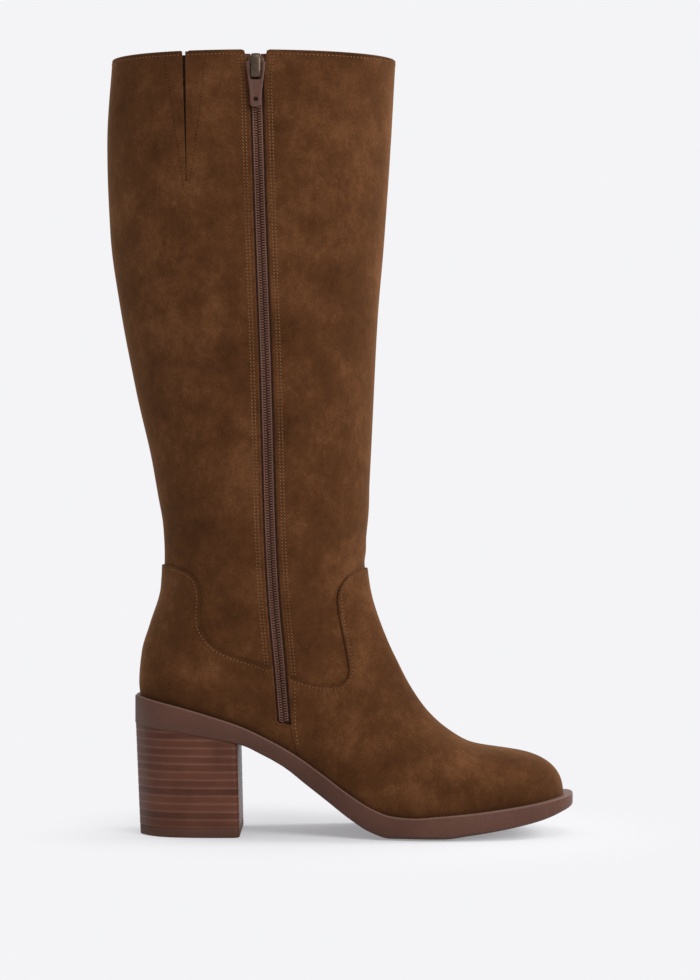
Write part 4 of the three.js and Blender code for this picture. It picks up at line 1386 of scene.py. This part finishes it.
PULL_WAIST_WIDTH = 7.2 * MM
PULL_WAIST_DROP = 15 * MM
PULL_END_WIDTH = 6 * MM
PULL_THICKNESS = 1.2 * MM
PULL_HOLE = 1.3 * MM
PULL_CLEARANCE = 0.45 * MM


# The slider's place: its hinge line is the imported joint's.
def slider_place():
    hinge = Vector(frame["record"]["behaviour"]["joints"][0]["pos_m"])
    above = LEG_SKIN.at(zip_x(SLIDER_Z), SLIDER_Z + SLIDER_LENGTH / 2, -1)[0]
    below = LEG_SKIN.at(zip_x(SLIDER_Z), SLIDER_Z - SLIDER_LENGTH / 2, -1)[0]
    lean = math.atan2(above.y - below.y, above.z - below.z)
    turn = Matrix.Rotation(-lean, 4, "X")
    return Matrix.Translation(hinge - turn @ Vector((0, -HINGE_RISE, BAR_RISE))) @ turn


def set_in_place(piece):
    piece.data.transform(slider_place())
    piece.data.update()
    smooth(piece, 35)


def soften(piece, width, segments, angle=40):
    limit = math.radians(angle)
    finish_with(piece, "BEVEL", width=width, segments=segments, limit_method="ANGLE", angle_limit=limit)


# A closed outline between an ellipse (power 1) and a rectangle, narrowed towards its lower end.
def rounded(width, length, power, count, taper=0):
    points = []
    for i in range(count):
        angle = 2 * math.pi * (i + 0.5) / count
        u = math.cos(angle)
        v = math.sin(angle)
        z = length / 2 * math.copysign(abs(v) ** power, v)
        half = width / 2 * (1 - taper * (0.5 - z / length))
        points.append((half * math.copysign(abs(u) ** power, u), z))
    return points


# The arch over the slider's front plate, which holds the pull's bar.
def make_crown():
    rings = []
    for i in range(CROWN_STEPS + 1):
        angle = math.pi * i / CROWN_STEPS
        cosine = math.cos(angle)
        along_zip = -math.copysign(abs(cosine) ** 0.6, cosine)
        rise = math.sin(angle) ** 0.6
        outer = Vector((0, -PLATE_TOP - (CROWN_OPENING + CROWN_WALL) * rise, CROWN_LENGTH / 2 * along_zip))
        inner_length = CROWN_LENGTH / 2 - CROWN_WALL
        inner = Vector((0, -PLATE_TOP - CROWN_OPENING * rise, inner_length * along_zip))
        if i in (0, CROWN_STEPS):
            outer.y = inner.y = -PLATE_TOP + PLATE / 2
        ring = []
        for j in range(CROWN_SIDES):
            turn = 2 * math.pi * (j + 0.5) / CROWN_SIDES
            u = math.cos(turn)
            v = math.sin(turn)
            across = CROWN_WIDTH / 2 * math.copysign(abs(u) ** 0.95, u)
            share = 0.5 + 0.5 * math.copysign(abs(v) ** 0.95, v)
            ring.append(inner.lerp(outer, share) + Vector((across, 0, 0)))
        rings.append(ring)
    crown = tube_through("slider_crown", rings)
    close_ends(crown)
    return crown


def make_slider():
    outline = rounded(SLIDER_WIDTH, SLIDER_LENGTH, 0.6, 56, 0.16)
    front = side_block("slider_front", outline, -PLATE_TOP, -GAP)
    soften(front, 0.45 * MM, 4)
    behind = side_block("slider_back", outline, PLATE_BEHIND, PLATE_BEHIND + PLATE)
    soften(behind, 0.45 * MM, 4)
    half = NECK_WIDTH / 2
    low = NECK_TOP - NECK_LENGTH
    corners = [(-half, low), (half, low), (half, NECK_TOP), (-half, NECK_TOP)]
    neck = side_block("slider_neck", corners, -GAP - PLATE / 2, PLATE_BEHIND + PLATE / 2)
    soften(neck, 0.3 * MM, 2)
    piece = join("zip_slider_metal", [front, behind, neck, make_crown()])
    set_in_place(piece)
    dress(piece, BRONZE, "boot", "metal", "zip_slider")


def arc(x, z, radius, start, end, steps=6):
    points = []
    for i in range(steps + 1):
        angle = math.radians(start + (end - start) * i / steps)
        points.append((x + radius * math.cos(angle), z + radius * math.sin(angle)))
    return points


def make_pull():
    top = BAR_RISE + PULL_SHOULDER
    end = top - PULL_LENGTH
    window_end = BAR_RISE - PULL_WINDOW
    window_half = CROWN_WIDTH / 2 + PULL_CLEARANCE
    end_half = PULL_END_WIDTH / 2
    top_half = PULL_TOP_WIDTH / 2
    arm = (top_half - window_half) / 2
    right = [(0, end)] + arc(end_half - 2 * MM, end + 2 * MM, 2 * MM, -80, 0)
    right += [(PULL_WAIST_WIDTH / 2, top - PULL_WAIST_DROP)]
    right += arc(top_half - arm, top - arm, arm, 0, 180, 10)
    right += arc(window_half - 1.2 * MM, window_end + 1.2 * MM, 1.2 * MM, 0, -80)
    left = [(-x, z) for x, z in reversed(right[1:])]
    low = -HINGE_RISE - PULL_THICKNESS / 2
    high = -HINGE_RISE + PULL_THICKNESS / 2
    plate = side_block("pull_plate", right + left, low, high)
    hole_z = end + end_half + PULL_HOLE
    hole = [(x, z + hole_z) for x, z in rounded(2 * PULL_HOLE, 2 * PULL_HOLE, 1, 32)]
    cut(plate, side_block("hole", hole, low - MM, high + MM))
    soften(plate, 0.28 * MM, 3, 50)
    bpy.ops.object.select_all(action="DESELECT")
    bpy.ops.mesh.primitive_cylinder_add(
        vertices=32, radius=BAR_RADIUS, depth=2 * window_half + 1.2 * MM,
        location=(0, -HINGE_RISE, BAR_RISE), rotation=(0, math.pi / 2, 0),
    )
    bar = bpy.context.object
    bpy.ops.object.transform_apply(location=True, rotation=True, scale=True)
    piece = join("zip_pull_metal", [plate, bar])
    set_in_place(piece)
    dress(piece, ENAMEL, "pull", "metal", "zip_pull")


# The tape is one band up to the slider, and two that spread apart above it.
def make_tape():
    tape_low = ZIP_END - 2.5 * MM
    split = SLIDER_Z + 3 * MM
    half = TAPE_WIDTH / 2
    top = BOOT_HEIGHT - TAPE_DROP
    below = [(zip_x(z) - half, zip_x(z) + half, z) for z in zip_heights(split, 110, tape_low)]
    parts = [band("tape_low", below, WALL + GAP, TAPE_THICKNESS)]
    for side in (-1, 1):
        levels = []
        for z in zip_heights(top, 8, split + 0.05 * MM):
            inner = 1.6 * MM + 1.4 * MM * (z - split) / (top - split)
            edges = sorted((zip_x(z) + side * inner, zip_x(z) + side * half))
            levels.append((edges[0], edges[1], z))
        parts.append(band("tape_top", levels, WALL + GAP, TAPE_THICKNESS, 8))
    tape = join("zip_tape_woven", parts)
    dress(tape, TAPE, "boot", "tape", "zip_tape")


# The coil's turns, in metres: from the zip's middle, depth below the skin, and half sizes
TURN_OFF = 1.55 * MM
TURN_DEPTH = 1.05 * MM
TURN_HALF = (1.5 * MM, 0.52 * MM, 0.82 * MM)
TURN_TILT = 0.12
COIL_LOW = ZIP_END + 2.4 * MM
COIL_TOP = SLIDER_Z - 4.5 * MM
CORD_OFF = 2.35 * MM
CORD_DEPTH = 0.55 * MM
CORD_RADIUS = 0.42 * MM


# One turn: a round bar with blunt ends, along X.
def turn_shape():
    bpy.ops.object.select_all(action="DESELECT")
    bpy.ops.mesh.primitive_uv_sphere_add(segments=8, ring_count=8, radius=1)
    turn = bpy.context.object
    for vertex in turn.data.vertices:
        x = vertex.co.z
        square = math.copysign(abs(x) ** 0.55, x)
        vertex.co = (square, vertex.co.x, vertex.co.y)
    return turn


# One side's turns lie half a pitch above the other's.
def make_coil():
    turn = turn_shape()
    places = []
    for i in range(int((COIL_TOP - COIL_LOW) / COIL_PITCH)):
        for side in (-1, 1):
            z = COIL_LOW + (i + (0.5 if side > 0 else 0)) * COIL_PITCH
            place, out = LEG_SKIN.at(zip_x(z) + side * TURN_OFF, z, -1)
            above = LEG_SKIN.at(zip_x(z), z + MM, -1)[0]
            below = LEG_SKIN.at(zip_x(z), z - MM, -1)[0]
            ahead = (above - below).normalized()
            across = ahead.cross(out).normalized()
            out = across.cross(ahead).normalized()
            tilt = (across + ahead * TURN_TILT * side).normalized()
            centre = place - out * TURN_DEPTH
            places.append((centre, tilt * TURN_HALF[0], ahead * TURN_HALF[1], out * TURN_HALF[2]))
    coil = many("zip_coil", turn, places)
    weld(coil, 1e-7)
    dress(coil, COIL, "boot", "chain", "zip_chain")


# The two threads that hold the coil down.
def make_cords():
    cords = []
    for side in (-1, 1):
        points = [(zip_x(z) + side * CORD_OFF, z) for z in zip_heights(COIL_TOP, CORD_STEPS, COIL_LOW)]
        line = on_skin(LEG_SKIN, points, -1, 0, CORD_DEPTH)
        cords.append(folded_edge("coil_cord", [p for p, _ in line], CORD_RADIUS, 6))
    dress(join("zip_coil_threads", cords), COIL, "boot", "chain")


def make_gore():
    levels = []
    low = BOOT_HEIGHT - GORE_LENGTH
    top = BOOT_HEIGHT - TAPE_DROP
    for z in zip_heights(top, 40, low):
        t = (z - low) / (top - low)
        middle = SLIT_END_X + (SLIT_TOP_X - SLIT_END_X) * t
        half = GORE_END_WIDTH / 2 + (GORE_WIDTH / 2 - GORE_END_WIDTH / 2) * t
        levels.append((middle - half, middle + half, z))
    gore = band("gore_elastic", levels, WALL + GAP, GORE_THICKNESS)
    dress(gore, ELASTIC, "boot", "tape", "elastic_gore")


# Sole

# How far the heel reaches into the heel seat's crowned underside.
HEEL_SUNK = 0.2 * MM


# The outer and inner line where the form meets the outsole's top, from the toe back.
def feather_line(reach):
    stations = []
    for i in range(len(LEG_ROWS), LAST):
        stations += [station(i + j / FEATHER_STEPS, reach) for j in range(FEATHER_STEPS)]
    for i in range(FEATHER_TOE_STEPS + 1):
        stations.append(toe_station(math.radians(89.5) * i / FEATHER_TOE_STEPS, reach))
    outer = []
    inner = []
    count = RING_POINTS
    for section in stations:
        ring = ring_of(section)
        heights = [p.z - sole_top(p.x) for p in ring]
        for i in range(count):
            j = (i + 1) % count
            if (heights[i] > 0) == (heights[j] > 0):
                continue
            p = ring[i].lerp(ring[j], heights[i] / (heights[i] - heights[j]))
            (outer if i < count / 2 else inner).insert(0, Vector((p.x, p.y, 0)))
    return outer, inner


FEATHER = feather_line(REACH)


def relaxed(line):
    for _ in range(RELAX_ROUNDS):
        middle = [(a + b * 2 + c) / 4 for a, b, c in zip(line, line[1:], line[2:])]
        line = [line[0]] + middle + [line[-1]]
    return line


# Plan outline of the outsole, drawn in from its edge by inset, first point at the toe's tip.
def sole_outline(inset, count=OUTLINE_POINTS, feather=None, grow=None):
    outer_line, inner_line = feather or FEATHER
    reach = WELT_WIDTH - inset if grow is None else grow

    def grown(line, sign):
        result = []
        for i, p in enumerate(line):
            before = line[max(0, i - 1)]
            after = line[min(len(line) - 1, i + 1)]
            length = (before - after).length
            nx = sign * (before.y - after.y) / length
            ny = (before.x - after.x) / length
            result.append(Vector((p.x - reach * nx, p.y + sign * reach * ny, 0)))
        return result

    outer = grown(relaxed(outer_line), 1)
    inner = grown(relaxed(inner_line), -1)
    toe_x = max(outer[0].x, inner[0].x)
    heel_x = min(outer[-1].x, inner[-1].x)
    toe = Vector((toe_x, (outer[0].y + inner[0].y) / 2, 0))
    heel = Vector((heel_x, (outer[-1].y + inner[-1].y) / 2, 0))
    outer_half = evenly([toe] + outer + [heel], count // 2)
    inner_half = evenly([toe] + inner + [heel], count // 2)
    inner_half.reverse()
    ring = outer_half[:-1] + inner_half[:-1]
    if grow is not None:
        return ring
    scale = (SOLE_LENGTH - 2 * inset) / (toe_x - heel_x)
    return [Vector((SOLE_BACK + inset + (p.x - heel_x) * scale, p.y, 0)) for p in ring]


# A loft with both ends closed in strips between paired points. Its rings start on their axis, or
# beside it.
def capped(name, rings, on_axis):
    parts = [sheet(name, [ring + [ring[0]] for ring in rings])]
    skip = 0 if on_axis else 1
    for ring in (rings[0], rings[-1]):
        count = len(ring)
        rows = []
        for i in range(count // 2 + 1 - skip):
            a = ring[i]
            b = ring[(count - i - skip) % count]
            rows.append([a.lerp(b, j / 4) for j in range(5)])
        parts.append(sheet(name + "_end", rows))
    piece = join(name, parts)
    weld(piece, 2e-6)
    return piece


# Levels of the sole's side: from the underside or the top, inset, rise, and rise at the heel seat.
def sole_levels():
    levels = []
    for i in range(7):
        t = i / 6
        inset = (12 - 10.7 * t) * MM
        levels.append(("under", inset, CROWN_RISE * t * t, 0))
    for i in range(1, 6):
        angle = math.pi / 2 * i / 5
        inset = 1.3 * MM * (1 - math.sin(angle))
        drop = 1.3 * MM * (1 - math.cos(angle))
        levels.append(("under", inset, CROWN_RISE + drop, 0.5 * MM * (1 - math.cos(angle))))
    for i in range(6):
        angle = math.pi / 2 * i / 5
        inset = 0.9 * MM * (1 - math.cos(angle))
        drop = 0.9 * MM * (1 - math.sin(angle))
        levels.append(("top", inset, -drop, -drop))
    levels.append(("top", 3.2 * MM, 0, 0))
    levels.append(("top", 6 * MM, 0, 0))
    return levels


# Painted shade under the arch and low on the outsole's side, as the shade-and-grime amount of a point.
def sole_painted_shade(p):
    arch = math.exp(-(((along(p.x) - 0.4) / 0.16) ** 2))
    low = max(0, 1 - (p.z - sole_under(p.x)) / (5 * MM))
    return min(1, 0.42 * arch + 0.25 * low)


# Painted highlight: a light rim along the outsole's top edge.
def sole_painted_highlight(p):
    return 0.42 * max(0, 1 - (sole_top(p.x) - p.z) / (0.9 * MM))


def make_outsole():
    rings = []
    for side, inset, rise, seat_rise in sole_levels():
        ring = []
        for p in sole_outline(inset):
            z = sole_under(p.x) if side == "under" else sole_top(p.x)
            ring.append(Vector((p.x, p.y, z + rise + (seat_rise - rise) * seat(along(p.x)))))
        rings.append(ring)
    piece = capped("outsole_rubber", rings, True)
    smooth(piece, 35)
    paint(piece, RUBBER, TREAD)
    for face in piece.data.polygons:
        face.material_index = 1 if face.normal.z < -0.75 and face.center.x > TIP_FRONT else 0
    write_attribute(piece, "grime", sole_painted_shade)
    write_attribute(piece, "worn", sole_painted_highlight)
    fit(piece, "boot", "sole", "outsole")


def heel_ring(z, inset=0.0):
    down = 1 - z / (HEEL_HEIGHT - SEAT_THICKNESS)
    outline = sole_outline(HEEL_SETBACK + HEEL_BACK_SLOPE * down + inset)
    front = TIP_FRONT - HEEL_BREAST_SLOPE * (1 - down) - inset
    edge = front - HEEL_CORNER
    first = next(i for i, p in enumerate(outline) if p.x < edge)
    rest = [p for p in outline[first:] if p.x < edge]
    before = outline[first - 1]
    after = outline[first + len(rest)]
    start = before.lerp(rest[0], (before.x - edge) / (before.x - rest[0].x))
    end = after.lerp(rest[-1], (after.x - edge) / (after.x - rest[-1].x))
    steps = [math.radians(a) for a in (15, 30, 45, 60, 75, 90)]

    def corner(p, sign):
        return [
            Vector((edge + HEEL_CORNER * math.sin(a), p.y - sign * HEEL_CORNER * (1 - math.cos(a)), 0))
            for a in steps
        ]

    even = evenly([start] + rest + [end], 90)
    ring = list(reversed(corner(start, 1))) + even + corner(end, -1)
    return [Vector((p.x, p.y, z)) for p in ring]


def above_underside():
    points = sole_curve(sole_under, HEEL_SUNK)
    points += [(FAR_FRONT, BOOT_HEIGHT), (FAR_BACK, BOOT_HEIGHT)]
    return side_block("above the underside", points, -SIDE, SIDE)


# A layer's side: share of its height, and inset.
LAYER_PROFILE = ((0, LAYER_GROOVE), (0.06, 0.03 * MM), (0.14, 0), (0.86, 0), (0.94, 0.03 * MM))


def make_heel():
    low = TIP_THICKNESS + 0.1 * MM
    top = HEEL_HEIGHT - SEAT_THICKNESS
    rings = []
    z = low
    while z < top:
        end = min(z + LAYER, top)
        for share, inset in LAYER_PROFILE:
            rings.append(heel_ring(z + (end - z) * share, inset))
        z += LAYER
    rings.append(heel_ring(top, LAYER_GROOVE))
    piece = capped("heel_stack", rings, False)
    cut(piece, above_underside())
    smooth(piece, 40)
    dress(piece, STACK, "boot", "stack", "heel")


def make_heel_tip():
    rings = [
        heel_ring(0, 1.1 * MM),
        heel_ring(0.15 * MM, 0.55 * MM),
        heel_ring(0.5 * MM, 0.16 * MM),
        heel_ring(1 * MM, 0),
        heel_ring(TIP_THICKNESS - 0.35 * MM, 0),
        heel_ring(TIP_THICKNESS - 0.08 * MM, 0.1 * MM),
        heel_ring(TIP_THICKNESS, 0.3 * MM),
    ]
    piece = capped("heel_tip_rubber", rings, False)
    smooth(piece, 40)
    dress(piece, TIP, "boot", "tip", "heel_tip")


def make_insole():
    feather = feather_line(-WALL - GAP)
    rings = []
    for inset, rise in ((0.3, 0.2), (0, 0.6), (0, 2.3), (0.25, 2.8), (0.9, 3.05), (4, 3.1)):
        ring = []
        for p in sole_outline(0, 200, feather, -inset * MM):
            ring.append(Vector((p.x, p.y, sole_top(p.x) + rise * MM)))
        rings.append(ring)
    piece = capped("insole_lining", rings, True)
    smooth(piece, 40)
    dress(piece, LINING, "boot", "lining", "insole")


make_leathers()
make_panel_edges()
make_zip_edges()
make_collar()
make_slit_edges()
make_tape()
make_coil()
make_cords()
make_slider()
make_pull()
make_gore()
make_outsole()
make_heel()
make_heel_tip()
make_insole()

# Light and floor

def make_light(name, place, target, size, power):
    data = bpy.data.lights.new(name, "AREA")
    data.shape = "SQUARE"
    data.size = size
    data.energy = power
    light = bpy.data.objects.new(name, data)
    light.location = place
    light.rotation_euler = (Vector(target) - Vector(place)).to_track_quat("-Z", "Y").to_euler()
    bpy.context.scene.collection.objects.link(light)


# A sweep of paper with painted light: it glows faintly near the boot and evenly further off, as in a light
# tent, so the boot's shadow shows only close by.
def make_floor():
    rows = []
    for i in range(41):
        t = i / 40
        if t < 0.5:
            place = (-4 + 6 * t * 2, 0)
        else:
            turn = math.pi / 2 * min(1, (t - 0.5) / 0.25)
            rise = max(0, t - 0.75) * 16
            place = (2 + 1.5 * math.sin(turn), 1.5 * (1 - math.cos(turn)) + rise)
        rows.append([Vector((-5 + 10 * j / 20, place[0], place[1])) for j in range(21)])
    floor = sheet("studio_floor", rows)
    finish = Finish("pale floor", 0.95, 0)
    finish.feed(finish.bsdf, {"Base Color": (0.78, 0.78, 0.795, 1)})
    # Painted light: the floor's own glow is 30 percent of its look near the boot and all of it from 0.2 m
    # off.
    glow = finish.add("Emission", {"Color": (0.905, 0.905, 0.93, 1)})
    off = finish.add("VectorMath", {0: finish.coords, 1: (0.09, 0, 0)}, operation="DISTANCE")
    span = {"From Min": 0.06, "From Max": 0.2, "To Min": 0.3, "To Max": 1}
    share = finish.add("MapRange", {"Value": off.outputs["Value"], **span}, interpolation_type="SMOOTHSTEP")
    parts = {0: share.outputs["Result"], 1: finish.bsdf.outputs[0], 2: glow.outputs[0]}
    mix = finish.add("MixShader", parts)
    finish.feed(finish.nodes["Material Output"], {"Surface": mix.outputs[0]})
    paint(floor, finish.material)
    smooth(floor, 60)


def make_world():
    world = bpy.data.worlds.new("studio")
    world.use_nodes = True
    back = world.node_tree.nodes["Background"]
    back.inputs["Color"].default_value = (0.985, 0.98, 0.985, 1)
    back.inputs["Strength"].default_value = 0.56
    bpy.context.scene.world = world


make_floor()
bpy.context.scene.view_settings.view_transform = "Standard"
make_world()
make_light("key", (1.7, -1.9, 1.2), (0.06, 0, 0.2), 1.1, 38)
make_light("rim", (1.9, 0.4, 1.3), (0.06, 0, 0.2), 0.8, 30)
make_light("top", (0.5, -1.5, 2.6), (0.08, 0, 0.1), 1.2, 15)
